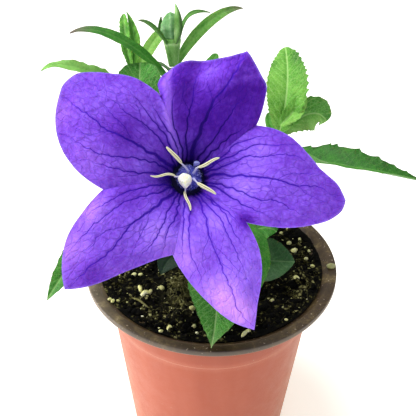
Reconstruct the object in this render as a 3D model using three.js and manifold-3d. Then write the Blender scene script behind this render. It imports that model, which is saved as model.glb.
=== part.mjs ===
// Potted balloon flower. One open violet bloom of five joined petals faces the front, a closed
// green bud and two leafy side shoots rise behind it, and narrow toothed leaves hang over the
// soil of a small two-tone nursery pot.
//
// Millimetres, +Z up. The origin is the middle of the pot's base, and the bloom faces -Y.

import * as THREE from 'three';
import Module from 'manifold-3d';
import { mergeVertices } from 'three/addons/utils/BufferGeometryUtils.js';

// Clearance between neighbouring pieces
const GAP = 0.3;

// Pot: a 90 mm wide moulded plastic nursery pot with a flat hanging rim
const POT_HEIGHT = 78;
const RIM_RADIUS = 45;
const RIM_DEPTH = 2.3;
const RIM_INNER_RADIUS = 41.7;
const BASE_RADIUS = 31;
const WALL = 1;
const FLOOR_THICKNESS = 1.2;
const LINE_HEIGHT = 61;
const LINE_STEP = 0.35;
const SHELF_HEIGHT = 76.5;
const DRAIN_HOLES = 8;
const DRAIN_HOLE_RADIUS = 1.8;
const DRAIN_CIRCLE_RADIUS = 22;

// Soil: slightly dished round the stem, its edge lying over the rim's inner shelf
const SOIL_EDGE_RADIUS = 40;
const SOIL_EDGE_HEIGHT = 77.3;
const SOIL_MIDDLE_HEIGHT = 75.3;
const SOCKET_DEPTH = 15.6;

// Stems
const MAIN_STEM_RADIUS = 1.35;
const SIDE_STEM_RADIUS = 1;

// Bloom: its place, the way it faces, and its flaring bell shape
const BLOOM_CENTRE = new THREE.Vector3(-7.2, -30.4, 132.4);
const BLOOM_ELEVATION = THREE.MathUtils.degToRad(43);
const BLOOM_AZIMUTH = THREE.MathUtils.degToRad(12);
const FOOT_RADIUS = 4.4;
const BELL_DEPTH = 20;
const BELL_FLARE = 10.5;
const BELL_FOOT = 4.2;
const PETAL_THICKNESS = 0.8;

// Bud: the top of its stem and the way it points
const BUD_CENTRE = new THREE.Vector3(-13, 5.6, 150.2);
const BUD_UP = new THREE.Vector3(-0.06, 0.33, 0.94).normalize();
const BUD_CUP_HEIGHT = 8.3;

// Blades
const LEAF_FOOT_GAP = 0.5;
const LEAF_THICKNESS = 0.8;
const LEAF_ROWS = 8;
const LEAF_COLUMNS = 4;

const material = (color, roughness, metalness = 0) =>
  new THREE.MeshStandardMaterial({ color, roughness, metalness, side: THREE.DoubleSide });

const POT_PLASTIC = material('#c9745c', 0.45);
const SOIL = material('#2b2620', 0.95);
const PERLITE = material('#d9d4bd', 0.9);
const STEM = material('#8fb56a', 0.6);
const LEAF = material('#4f9440', 0.55);
const YOUNG_LEAF = material('#8ccf5f', 0.5);
const OLD_LEAF = material('#2f5a2b', 0.5);
const CALYX = material('#6aa35a', 0.6);
const BUD = material('#a9cf95', 0.55);
const PETAL = material('#7a4fd0', 0.6);
const STAMEN = material('#2c2f6b', 0.7);
const STIGMA = material('#e6e2c8', 0.7);

const plant = new THREE.Group();

function addPiece(parent, name, geometry, pieceMaterial) {
  const mesh = new THREE.Mesh(geometry, pieceMaterial);
  mesh.name = name;
  parent.add(mesh);
  return mesh;
}

const point = (x, y, z) => new THREE.Vector3(x, y, z);

// Turned shape about +Z from radius and height pairs that start and end on the axis
function turned(profile, segments) {
  const points = profile.map(([r, z]) => new THREE.Vector2(r, z));
  const geometry = new THREE.LatheGeometry(points, segments);
  geometry.rotateX(Math.PI / 2);
  return geometry;
}

// Round stem of one radius along a curve, with flat ends
function stemGeometry(curve, radius, steps) {
  const section = new THREE.Shape().absarc(0, 0, radius, 0, 2 * Math.PI);
  return new THREE.ExtrudeGeometry(section, {
    steps,
    curveSegments: 10,
    bevelEnabled: false,
    extrudePath: curve,
  });
}

// Solid thread along a curve whose radius changes from ring to ring, closed by flat ends
function threadGeometry(curve, radii, sides) {
  const rings = radii.length;
  const frames = curve.computeFrenetFrames(rings - 1, false);
  const position = [];
  const index = [];
  for (let i = 0; i < rings; i += 1) {
    const centre = curve.getPointAt(i / (rings - 1));
    for (let j = 0; j < sides; j += 1) {
      const angle = (2 * Math.PI * j) / sides;
      const across = frames.normals[i].clone().multiplyScalar(radii[i] * Math.cos(angle));
      const beside = frames.binormals[i].clone().multiplyScalar(radii[i] * Math.sin(angle));
      position.push(...centre.clone().add(across).add(beside).toArray());
    }
  }
  const first = rings * sides;
  position.push(...curve.getPointAt(0).toArray());
  position.push(...curve.getPointAt(1).toArray());
  for (let j = 0; j < sides; j += 1) {
    const next = (j + 1) % sides;
    for (let i = 0; i < rings - 1; i += 1) {
      const a = i * sides + j;
      const b = i * sides + next;
      index.push(a, b, b + sides);
      index.push(a, b + sides, a + sides);
    }
    index.push(first, next, j);
    index.push(first + 1, (rings - 1) * sides + j, (rings - 1) * sides + next);
  }
  return geometryFrom(position, index);
}

function geometryFrom(position, index) {
  const geometry = new THREE.BufferGeometry();
  geometry.setAttribute('position', new THREE.Float32BufferAttribute(position, 3));
  geometry.setIndex(index);
  geometry.computeVertexNormals();
  return geometry;
}

// Half the width of a blade at t, from 0 at its base to 1 at its tip:
// width / 2 * sin(pi * t ^ a) ^ point, with a set so that the widest place is where it is asked
// for, and never narrower than the short stalk at the base.
function bladeHalfWidth(t, { width, widest, blunt }) {
  const a = Math.log(0.5) / Math.log(widest);
  const blade = (width / 2) * Math.sin(Math.PI * Math.min(t, 1) ** a) ** blunt;
  return Math.max(blade, 0.5 * (1 - t) + 0.12);
}

// Leaf blade as a thin lens: an upper and a lower sheet that meet along both margins, along the
// base and at the tip. Its midrib is a cubic curve and the two halves fold up from it.
function bladeGeometry(path, shape) {
  const { face, fold, thickness = LEAF_THICKNESS } = shape;
  const midrib = new THREE.CubicBezierCurve3(...path);
  const foldAngle = THREE.MathUtils.degToRad(fold);
  const upper = [];
  const lower = [];
  const position = [];
  const index = [];
  for (let i = 0; i < LEAF_ROWS; i += 1) {
    const t = i / LEAF_ROWS;
    const centre = midrib.getPoint(t);
    const along = midrib.getTangent(t);
    const side = along.clone().cross(face).normalize();
    const up = side.clone().cross(along);
    const half = bladeHalfWidth(t, shape);
    const upperRow = [];
    const lowerRow = [];
    for (let j = 0; j <= LEAF_COLUMNS; j += 1) {
      const s = (2 * j) / LEAF_COLUMNS - 1;
      const across = half * s * Math.cos(foldAngle * Math.sqrt(Math.abs(s)));
      const rise = half * Math.abs(s) * Math.sin(foldAngle);
      const place = centre.clone().addScaledVector(side, across).addScaledVector(up, rise);
      const edge = i === 0 || j === 0 || j === LEAF_COLUMNS;
      const swell = edge ? 0 : (thickness / 2) * Math.sqrt(1 - s * s);
      upperRow.push(position.length / 3);
      position.push(...place.clone().addScaledVector(up, swell).toArray());
      if (edge) {
        lowerRow.push(upperRow[j]);
      } else {
        lowerRow.push(position.length / 3);
        position.push(...place.clone().addScaledVector(up, -swell).toArray());
      }
    }
    upper.push(upperRow);
    lower.push(lowerRow);
  }
  const tip = position.length / 3;
  position.push(...midrib.getPoint(1).toArray());
  for (let j = 0; j < LEAF_COLUMNS; j += 1) {
    for (let i = 0; i < LEAF_ROWS - 1; i += 1) {
      index.push(upper[i][j], upper[i][j + 1], upper[i + 1][j + 1]);
      index.push(upper[i][j], upper[i + 1][j + 1], upper[i + 1][j]);
      index.push(lower[i][j], lower[i + 1][j + 1], lower[i][j + 1]);
      index.push(lower[i][j], lower[i + 1][j], lower[i + 1][j + 1]);
    }
    index.push(upper[LEAF_ROWS - 1][j], upper[LEAF_ROWS - 1][j + 1], tip);
    index.push(lower[LEAF_ROWS - 1][j + 1], lower[LEAF_ROWS - 1][j], tip);
  }
  return geometryFrom(position, index);
}

// Solids for joining and cutting
const wasm = await Module();
wasm.setup();

function toSolid(geometry) {
  const plain = geometry.clone();
  plain.deleteAttribute('normal');
  plain.deleteAttribute('uv');
  const merged = mergeVertices(plain, 1e-4);
  const vertProperties = new Float32Array(merged.attributes.position.array);
  const triVerts = new Uint32Array(merged.index.array);
  return new wasm.Manifold(new wasm.Mesh({ numProp: 3, vertProperties, triVerts }));
}

function toGeometry(solid) {
  const mesh = solid.getMesh();
  return geometryFrom(Array.from(mesh.vertProperties), Array.from(mesh.triVerts));
}

const joined = (geometries) =>
  toGeometry(geometries.map(toSolid).reduce((whole, piece) => whole.add(piece)));

// Pot
const bodyRadius = (z) => BASE_RADIUS + (z * 7.08) / POT_HEIGHT;
const rimUnderside = POT_HEIGHT - RIM_DEPTH;

const potProfile = [
  [0, 0],
  [BASE_RADIUS - 0.8, 0],
  [bodyRadius(0.8), 0.8],
  [bodyRadius(LINE_HEIGHT), LINE_HEIGHT],
  [bodyRadius(LINE_HEIGHT) + LINE_STEP, LINE_HEIGHT + 0.3],
  [bodyRadius(rimUnderside) + LINE_STEP, rimUnderside],
  [RIM_RADIUS - 0.6, rimUnderside],
  [RIM_RADIUS, rimUnderside + 0.5],
  [RIM_RADIUS, POT_HEIGHT - 0.6],
  [RIM_RADIUS - 0.6, POT_HEIGHT],
  [RIM_INNER_RADIUS + 0.3, POT_HEIGHT],
  [RIM_INNER_RADIUS - 1, SHELF_HEIGHT + 0.3],
  [bodyRadius(SHELF_HEIGHT), SHELF_HEIGHT],
  [bodyRadius(rimUnderside) - WALL, rimUnderside - 0.5],
  [bodyRadius(FLOOR_THICKNESS + 1) - WALL, FLOOR_THICKNESS + 1],
  [bodyRadius(FLOOR_THICKNESS) - WALL - 1, FLOOR_THICKNESS],
  [0, FLOOR_THICKNESS],
];

let potSolid = toSolid(turned(potProfile, 48));
for (let i = 0; i < DRAIN_HOLES; i += 1) {
  const angle = (2 * Math.PI * i) / DRAIN_HOLES;
  const drill = new THREE.CylinderGeometry(DRAIN_HOLE_RADIUS, DRAIN_HOLE_RADIUS, 4, 12);
  drill.rotateX(Math.PI / 2);
  drill.translate(
    DRAIN_CIRCLE_RADIUS * Math.cos(angle),
    DRAIN_CIRCLE_RADIUS * Math.sin(angle),
    FLOOR_THICKNESS / 2,
  );
  potSolid = potSolid.subtract(toSolid(drill));
}
addPiece(plant, 'pot', toGeometry(potSolid), POT_PLASTIC);

// Soil, with a socket round the foot of the main stem
const soilTop = [
  [SOIL_EDGE_RADIUS - 0.6, SOIL_EDGE_HEIGHT],
  [34, 76.4],
  [20, 75.6],
  [MAIN_STEM_RADIUS + 3, SOIL_MIDDLE_HEIGHT],
];
const socketFloor = SOIL_MIDDLE_HEIGHT - SOCKET_DEPTH;
const soilProfile = [
  [0, FLOOR_THICKNESS + GAP],
  [bodyRadius(FLOOR_THICKNESS) - WALL - 1.4, FLOOR_THICKNESS + GAP],
  [bodyRadius(FLOOR_THICKNESS + 1.4) - WALL - GAP, FLOOR_THICKNESS + 1.4],
  [bodyRadius(rimUnderside) - WALL - GAP, rimUnderside - 0.4],
  [bodyRadius(SHELF_HEIGHT) - 0.4, SHELF_HEIGHT + GAP],
  [SOIL_EDGE_RADIUS, SHELF_HEIGHT + GAP + 0.2],
  ...soilTop,
  [MAIN_STEM_RADIUS + GAP, SOIL_MIDDLE_HEIGHT],
  [MAIN_STEM_RADIUS + GAP, socketFloor],
  [0, socketFloor],
];
addPiece(plant, 'soil', turned(soilProfile, 48), SOIL);

function soilHeight(x, y) {
  const radius = Math.hypot(x, y);
  for (let i = 0; i < soilTop.length - 1; i += 1) {
    const [outer, high] = soilTop[i];
    const [inner, low] = soilTop[i + 1];
    if (radius >= inner) {
      return low + ((high - low) * (radius - inner)) / (outer - inner);
    }
  }
  return SOIL_MIDDLE_HEIGHT;
}

// Larger grains of perlite lying on the soil: place, half sizes and turn
const PERLITE_GRAINS = [
  { x: -22.5, y: -17.5, half: [1.7, 1.2, 1], turn: 0.6 },
  { x: -13, y: -34.5, half: [1, 1.4, 0.8], turn: 0.4 },
  { x: -6, y: -25.5, half: [0.9, 1, 0.8], turn: 1.3 },
  { x: 11, y: -37, half: [0.6, 1.8, 0.6], turn: -0.6 },
  { x: 31, y: 8, half: [1.4, 1.1, 0.9], turn: 0.2 },
];
PERLITE_GRAINS.forEach((grain, i) => {
  const [halfX, halfY, halfZ] = grain.half;
  const geometry = new THREE.IcosahedronGeometry(1, 1);
  geometry.scale(halfX, halfY, halfZ);
  const piece = addPiece(plant, `perlite_${i + 1}`, geometry, PERLITE);
  const lift = GAP + 0.1 + halfZ;
  piece.position.set(grain.x, grain.y, soilHeight(grain.x, grain.y) + lift);
  piece.rotation.z = grain.turn;
});

// Stems. The main stem stands straight in its socket and then arches forward to the bloom.
const MAIN_STEM_ARCH = new THREE.CubicBezierCurve3(
  point(0, 0, 77),
  point(0, 0, 97),
  point(-10.5, -14.5, 117),
  point(-8.7, -23.5, 126),
);
const mainStemPath = new THREE.CurvePath();
mainStemPath.add(new THREE.LineCurve3(point(0, 0, socketFloor + GAP), point(0, 0, 77)));
mainStemPath.add(MAIN_STEM_ARCH);

const STEMS = {
  main_stem: { curve: MAIN_STEM_ARCH, radius: MAIN_STEM_RADIUS },
  bud_stem: {
    curve: new THREE.CubicBezierCurve3(
      point(-0.6, 2.6, 91),
      point(-4, 9, 104),
      point(-12, 0.3, 135.2),
      BUD_CENTRE,
    ),
    radius: SIDE_STEM_RADIUS,
  },
  left_shoot_stem: {
    curve: new THREE.CubicBezierCurve3(
      point(-2.6, 0.6, 85),
      point(-12, 5, 98),
      point(-24, 8.5, 130),
      point(-25.7, 5.7, 150.4),
    ),
    radius: SIDE_STEM_RADIUS - 0.1,
  },
  right_shoot_stem: {
    curve: new THREE.CubicBezierCurve3(
      point(2.7, 0.6, 81),
      point(8, 4, 96),
      point(16, 0, 116),
      point(20.2, -5.2, 134.6),
    ),
    radius: SIDE_STEM_RADIUS,
  },
};

addPiece(plant, 'main_stem', stemGeometry(mainStemPath, MAIN_STEM_RADIUS, 16), STEM);
for (const name of ['bud_stem', 'left_shoot_stem', 'right_shoot_stem']) {
  const { curve, radius } = STEMS[name];
  addPiece(plant, name, stemGeometry(curve, radius, 12), STEM);
}

// Place just off the skin of a stem at a height, towards a side, for the foot of a leaf
function besideStem(name, height, side) {
  const { curve, radius } = STEMS[name];
  let nearest = 0;
  for (let i = 0; i <= 400; i += 1) {
    const closer = Math.abs(curve.getPoint(i / 400).z - height);
    if (closer < Math.abs(curve.getPoint(nearest).z - height)) {
      nearest = i / 400;
    }
  }
  const along = curve.getTangent(nearest);
  const outward = point(...side);
  outward.addScaledVector(along, -outward.dot(along)).normalize();
  return curve.getPoint(nearest).addScaledVector(outward, radius + LEAF_FOOT_GAP);
}

// Leaves. Each has the stem that carries it, its height there and the side it leaves by, the two
// points that bend its midrib, its tip, the way its upper face looks, its width, how far along
// it is widest, how blunt its outline is and how far its halves fold up.
const LEAVES = [
  {
    name: 'leaf_left_long', stem: 'bud_stem', height: 144.5, side: [-1, -0.6, 0.3],
    bend: [[-18, 3.5, 154], [-33, 2.5, 167]], tip: [-43.5, 2.5, 162],
    face: [0, -0.35, 1], width: 4.3, widest: 0.5, blunt: 0.7, fold: 8, tone: LEAF,
  },
  {
    name: 'leaf_left_far', stem: 'left_shoot_stem', height: 141, side: [-1, -0.2, 0.3],
    bend: [[-35.5, 1, 150.3], [-47, 1, 155.5]], tip: [-53, 0.5, 150.7],
    face: [0, -0.35, 1], width: 5.2, widest: 0.36, blunt: 0.8, fold: 14, tone: LEAF,
  },
  {
    name: 'leaf_left_broad', stem: 'left_shoot_stem', height: 131, side: [0.2, -1, 0.2],
    bend: [[-22.5, -7.5, 145.5], [-23, -2.5, 150.5]], tip: [-23, 2.5, 153],
    face: [-0.1, -0.9, 0.4], width: 14, widest: 0.6, blunt: 0.45, fold: 8, tone: LEAF,
  },
  {
    name: 'shoot_leaf_front', stem: 'left_shoot_stem', height: 149, side: [-0.3, -1, 0.2],
    bend: [[-27, 3.6, 155.5], [-28, 9, 160.5]], tip: [-28.7, 14, 164],
    face: [-0.3, -1, 0.4], width: 3.5, widest: 0.55, blunt: 0.5, fold: 15, tone: YOUNG_LEAF,
  },
  {
    name: 'shoot_leaf_back', stem: 'left_shoot_stem', height: 149.3, side: [0.3, 1, 0.2],
    bend: [[-25, 11.5, 154], [-25.5, 16, 158.5]], tip: [-28.2, 18, 163.2],
    face: [0.4, -1, 0.4], width: 3.6, widest: 0.5, blunt: 0.55, fold: 15, tone: YOUNG_LEAF,
  },
  {
    name: 'leaf_strap', stem: 'left_shoot_stem', height: 147.5, side: [1, 0.6, 0],
    bend: [[-22.5, 12.5, 151.5], [-20, 18.5, 154.5]], tip: [-15.5, 24, 157],
    face: [0.2, -0.8, 0.5], width: 4, widest: 0.5, blunt: 0.35, fold: 10, tone: YOUNG_LEAF,
  },
  {
    name: 'leaf_beside_bud', stem: 'bud_stem', height: 148.3, side: [0.15, 1, 0],
    bend: [[-12, 12, 153], [-0.5, 21, 165]], tip: [8.5, 22.5, 163.5],
    face: [0.3, -0.7, 0.5], width: 4.2, widest: 0.52, blunt: 0.75, fold: 8, tone: LEAF,
  },
  {
    name: 'bract_left', stem: 'bud_stem', height: 149, side: [-1, 0.2, 0.1],
    bend: [[-16.5, 8, 151], [-18.5, 9, 150.5]], tip: [-21, 9.5, 149.5],
    face: [0, -0.4, 1], width: 1.2, widest: 0.5, blunt: 0.3, fold: 0, tone: OLD_LEAF,
  },
  {
    name: 'bract_back', stem: 'bud_stem', height: 143.5, side: [0.5, 1, 0],
    bend: [[-10, 9, 149.5], [-9.5, 11.5, 149.5]], tip: [-8, 11, 147.5],
    face: [0, -0.7, 0.7], width: 2.4, widest: 0.5, blunt: 0.6, fold: 10, tone: OLD_LEAF,
  },
  {
    name: 'leaf_behind_top', stem: 'bud_stem', height: 133, side: [1, 0.5, 0.2],
    bend: [[-5, 3, 143.5], [-2, 9, 149.5]], tip: [0.5, 13, 152],
    face: [0, -0.7, 0.8], width: 4.4, widest: 0.65, blunt: 0.55, fold: 12, tone: LEAF,
  },
  {
    name: 'leaf_right_tall', stem: 'right_shoot_stem', height: 134, side: [0.2, -1, 0.3],
    bend: [[21.5, -7.5, 144], [23, 1, 150.5]], tip: [22, 14.5, 154],
    face: [-0.1, -0.95, 0.3], width: 12.8, widest: 0.54, blunt: 0.62, fold: 12, tone: YOUNG_LEAF,
  },
  {
    name: 'leaf_right_round', stem: 'right_shoot_stem', height: 132, side: [1, 0.5, 0.3],
    bend: [[25.5, -2.5, 138.5], [32, 1.5, 140.5]], tip: [36, 3, 134],
    face: [0, -1, 0.45], width: 11, widest: 0.62, blunt: 0.55, fold: 12, tone: LEAF,
  },
  {
    name: 'leaf_right_long', stem: 'right_shoot_stem', height: 125.5, side: [1, -0.3, 0.2],
    bend: [[26, -17, 131.5], [45.5, -23, 133.5]], tip: [62, -22.5, 128.5],
    face: [0, 0, 1], width: 13.4, widest: 0.46, blunt: 1.1, fold: 28, tone: LEAF,
  },
  {
    name: 'leaf_right_inner', stem: 'right_shoot_stem', height: 131, side: [-1, 0.3, 0.2],
    bend: [[18, -0.5, 134.5], [17, 1, 135.5]], tip: [17.5, 2.5, 137],
    face: [0, -1, 0.3], width: 3, widest: 0.5, blunt: 0.5, fold: 8, tone: LEAF,
  },
  {
    name: 'leaf_front_low', stem: 'main_stem', height: 83, side: [0.2, -1, 0.1],
    bend: [[3.5, -32.5, 94.5], [2, -41, 87.5]], tip: [0.5, -45.5, 80.5],
    face: [0, -0.1, 1], width: 21, widest: 0.4, blunt: 1.4, fold: 10, tone: LEAF,
  },
  {
    name: 'leaf_front_right', stem: 'main_stem', height: 101, side: [1, -0.8, 0.3],
    bend: [[16.5, -22, 116], [17.2, -30.5, 102.5]], tip: [14.2, -34.8, 94.5],
    face: [0.6, -0.5, 0.6], width: 7.4, widest: 0.5, blunt: 0.7, fold: 15, tone: LEAF,
  },
  {
    name: 'leaf_low_right', stem: 'main_stem', height: 79.5, side: [1, -1, 0],
    bend: [[13.5, -10, 86.5], [22, -10.5, 87]], tip: [28.5, -11.5, 87.5],
    face: [0.1, -0.55, 0.8], width: 16, widest: 0.55, blunt: 0.8, fold: 10, tone: OLD_LEAF,
  },
  {
    name: 'leaf_mid_right', stem: 'main_stem', height: 88, side: [1, -0.6, 0],
    bend: [[14.5, -8.5, 99], [18.5, -9, 101.5]], tip: [21.5, -10.5, 99.5],
    face: [0, -0.5, 0.8], width: 9, widest: 0.65, blunt: 0.55, fold: 10, tone: LEAF,
  },
  {
    name: 'leaf_low_left', stem: 'main_stem', height: 81.5, side: [-1, -0.4, 0],
    bend: [[-7.5, -12, 93], [-14.5, -14.5, 94]], tip: [-16.5, -20, 88],
    face: [0, -0.4, 0.9], width: 9.5, widest: 0.55, blunt: 0.7, fold: 10, tone: OLD_LEAF,
  },
  {
    name: 'leaf_left_low', stem: 'main_stem', height: 110, side: [-1, -0.2, 0.2],
    bend: [[-20.5, -32.5, 128], [-36, -38, 120]], tip: [-48, -45, 98.5],
    face: [0, -0.6, 0.8], width: 9, widest: 0.68, blunt: 0.9, fold: 12, tone: LEAF,
  },
  {
    name: 'leaf_back_left', stem: 'bud_stem', height: 106, side: [-0.4, 1, 0],
    bend: [[-12, 22, 116], [-18, 34, 114]], tip: [-22, 40, 103],
    face: [0, 0.3, 1], width: 13, widest: 0.5, blunt: 0.8, fold: 14, tone: LEAF,
  },
  {
    name: 'leaf_back_right', stem: 'bud_stem', height: 118, side: [0.6, 1, 0],
    bend: [[1, 18, 122], [6, 27, 124]], tip: [10, 32, 116],
    face: [0, 0.3, 1], width: 11, widest: 0.5, blunt: 0.8, fold: 14, tone: LEAF,
  },
  {
    name: 'leaf_back_far_left', stem: 'left_shoot_stem', height: 112, side: [-0.6, 1, 0],
    bend: [[-30, 18, 120], [-38, 24, 120]], tip: [-42, 26, 112],
    face: [-0.3, 0.3, 1], width: 11, widest: 0.5, blunt: 0.8, fold: 14, tone: LEAF,
  },
  {
    name: 'leaf_back_far_right', stem: 'right_shoot_stem', height: 104, side: [0.3, 1, 0],
    bend: [[18, 16, 112], [30, 22, 112]], tip: [36, 24, 103],
    face: [0.2, 0.3, 1], width: 12, widest: 0.5, blunt: 0.8, fold: 14, tone: LEAF,
  },
  {
    name: 'leaf_back_low', stem: 'main_stem', height: 87, side: [0.8, 1, 0],
    bend: [[6, 16, 98], [12, 28, 98]], tip: [16, 38, 86],
    face: [0, 0.3, 1], width: 13, widest: 0.5, blunt: 0.8, fold: 14, tone: OLD_LEAF,
  },
  {
    name: 'leaf_side_low', stem: 'left_shoot_stem', height: 96, side: [-1, 0.4, 0],
    bend: [[-24, 10, 104], [-34, 12, 100]], tip: [-40, 14, 88],
    face: [-0.3, 0.2, 1], width: 11, widest: 0.5, blunt: 0.8, fold: 14, tone: OLD_LEAF,
  },
];

for (const leaf of LEAVES) {
  const base = besideStem(leaf.stem, leaf.height, leaf.side);
  const path = [base, point(...leaf.bend[0]), point(...leaf.bend[1]), point(...leaf.tip)];
  const thickness = Math.min(LEAF_THICKNESS, leaf.width * 0.2);
  const shape = { ...leaf, face: point(...leaf.face), thickness };
  addPiece(plant, leaf.name, bladeGeometry(path, shape), leaf.tone);
}

// Bloom, in a group whose +Z is the bloom's axis and whose +X points to the bloom's right
const bloomAxis = point(
  Math.sin(BLOOM_AZIMUTH) * Math.cos(BLOOM_ELEVATION),
  -Math.cos(BLOOM_AZIMUTH) * Math.cos(BLOOM_ELEVATION),
  Math.sin(BLOOM_ELEVATION),
);
const bloomRight = point(0, 0, 1).cross(bloomAxis).normalize();
const bloomUp = bloomAxis.clone().cross(bloomRight);
const bloom = new THREE.Group();
bloom.position.copy(BLOOM_CENTRE);
bloom.setRotationFromMatrix(new THREE.Matrix4().makeBasis(bloomRight, bloomUp, bloomAxis));
plant.add(bloom);

// Place in the bloom's own frame from an angle in degrees, a radius and a height
function bloomPoint(angle, radius, height) {
  const a = THREE.MathUtils.degToRad(angle);
  return point(radius * Math.cos(a), radius * Math.sin(a), height);
}

// Petals, clockwise from the top one: the tip's angle, how far the petal curls up or down, and
// its edge as angle and radius from the notch on its left, over its tip, to the next notch.
const PETALS = [
  {
    tip: 60, curl: 6,
    edge: [[107.5, 22], [104.5, 25.6], [99, 27], [87, 29], [77, 29.3], [67.5, 31], [60, 33.4],
      [48, 30.4], [43, 29.5], [37, 25.9], [30, 21.3]],
  },
  {
    tip: -17, curl: -4,
    edge: [[30, 21.3], [25, 23.3], [15, 27.2], [5, 30.5], [-4, 33.5], [-12, 39.5], [-17, 42],
      [-20, 41.5], [-25, 39.5], [-32, 33.5], [-44, 24.5], [-51, 19.5]],
  },
  {
    tip: -77, curl: -1,
    edge: [[-51, 19.5], [-58, 27], [-67, 34.5], [-72, 38.5], [-77, 44],
      [-83, 40.5], [-92, 34], [-104, 26.5], [-110.5, 23]],
  },
  {
    tip: -142.5, curl: 1,
    edge: [[-110.5, 23], [-118, 25], [-129, 31.5], [-136, 38], [-142.5, 45],
      [-147, 43], [-156, 37.5], [-165, 30], [-173, 24]],
  },
  {
    tip: -216, curl: -5,
    edge: [[-173, 24], [-186, 31], [-197, 35.5], [-207, 38.4], [-216, 40],
      [-224, 40.2], [-230, 37], [-236, 33.4], [-243, 29], [-252.5, 22]],
  },
];

// Height of the petals' inner face: a bell that rises and flares,
// depth * (1 - exp(-(r - foot) / flare)), with a low roof along each midrib, a valley at each
// seam and the petal's curl.
// u runs from 0 at the petal's middle line to 1 at its notches.
function bellHeight(radius, u, curl) {
  const bell = BELL_DEPTH * (1 - Math.exp(-(radius - BELL_FOOT) / BELL_FLARE));
  const roof = 0.6 * (1 - u) ** 1.5 - 1.3 * u ** 3;
  const relief = roof * Math.exp(-(((radius - 17) / 8) ** 2));
  const reach = Math.min(Math.max((radius - 13) / 30, 0), 1.3) ** 1.6;
  return bell + relief + curl * reach * Math.cos((Math.PI * u) / 2) ** 0.8;
}

// Corolla: the five joined petals as one thin closed sheet round an open foot
function corollaGeometry() {
  const rings = 9;
  const spokes = [];
  for (const { tip, curl, edge } of PETALS) {
    for (const [angle, reach] of edge.slice(0, -1)) {
      const far = angle > tip ? edge[0][0] : edge[edge.length - 1][0];
      spokes.push({ angle, reach, curl, u: Math.abs((angle - tip) / (far - tip)) });
    }
  }
  const position = [];
  const index = [];
  const inner = [];
  const outer = [];
  for (const { angle, reach, curl, u } of spokes) {
    const innerLine = [];
    const outerLine = [];
    for (let k = 0; k <= rings; k += 1) {
      const radius = FOOT_RADIUS + ((reach - FOOT_RADIUS) * k) / rings;
      const height = bellHeight(radius, u, curl);
      const slope = (bellHeight(radius + 0.1, u, curl) - height) / 0.1;
      const lean = Math.hypot(slope, 1);
      innerLine.push(position.length / 3);
      position.push(...bloomPoint(angle, radius, height).toArray());
      if (k === 0 || k === rings) {
        outerLine.push(innerLine[k]);
      } else {
        const back = PETAL_THICKNESS / lean;
        const place = bloomPoint(angle, radius + back * slope, height - back);
        outerLine.push(position.length / 3);
        position.push(...place.toArray());
      }
    }
    inner.push(innerLine);
    outer.push(outerLine);
  }
  for (let i = 0; i < spokes.length; i += 1) {
    const next = (i + 1) % spokes.length;
    for (let k = 0; k < rings; k += 1) {
      index.push(inner[next][k], inner[next][k + 1], inner[i][k + 1]);
      index.push(inner[next][k], inner[i][k + 1], inner[i][k]);
      index.push(outer[next][k], outer[i][k + 1], outer[next][k + 1]);
      index.push(outer[next][k], outer[i][k], outer[i][k + 1]);
    }
  }
  return geometryFrom(position, index);
}
addPiece(bloom, 'corolla', corollaGeometry(), PETAL);

// Calyx of the bloom: a cone on the stem's end with five narrow sepals under the seams
const SEAM_ANGLES = PETALS.map(({ edge }) => edge[0][0]);
const calyxProfile = [
  [0, -8.8],
  [1.7, -8.8],
  [3.1, -6.5],
  [4.8, -2.4],
  [5, -1.1],
  [FOOT_RADIUS - GAP, -0.7],
  [FOOT_RADIUS - GAP, GAP],
  [0, GAP],
];
const bloomSepals = SEAM_ANGLES.map((angle) => {
  const path = [
    bloomPoint(angle, 3.4, -2.6),
    bloomPoint(angle, 7, -3),
    bloomPoint(angle, 10, -1.5),
    bloomPoint(angle, 13, 2),
  ];
  const shape = { face: point(0, 0, 1), width: 3.2, widest: 0.4, blunt: 0.8, fold: 10 };
  return bladeGeometry(path, { ...shape, thickness: 0.6 });
});
const calyxCup = turned(calyxProfile, 24);
addPiece(bloom, 'flower_calyx', joined([calyxCup, ...bloomSepals]), CALYX);

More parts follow.
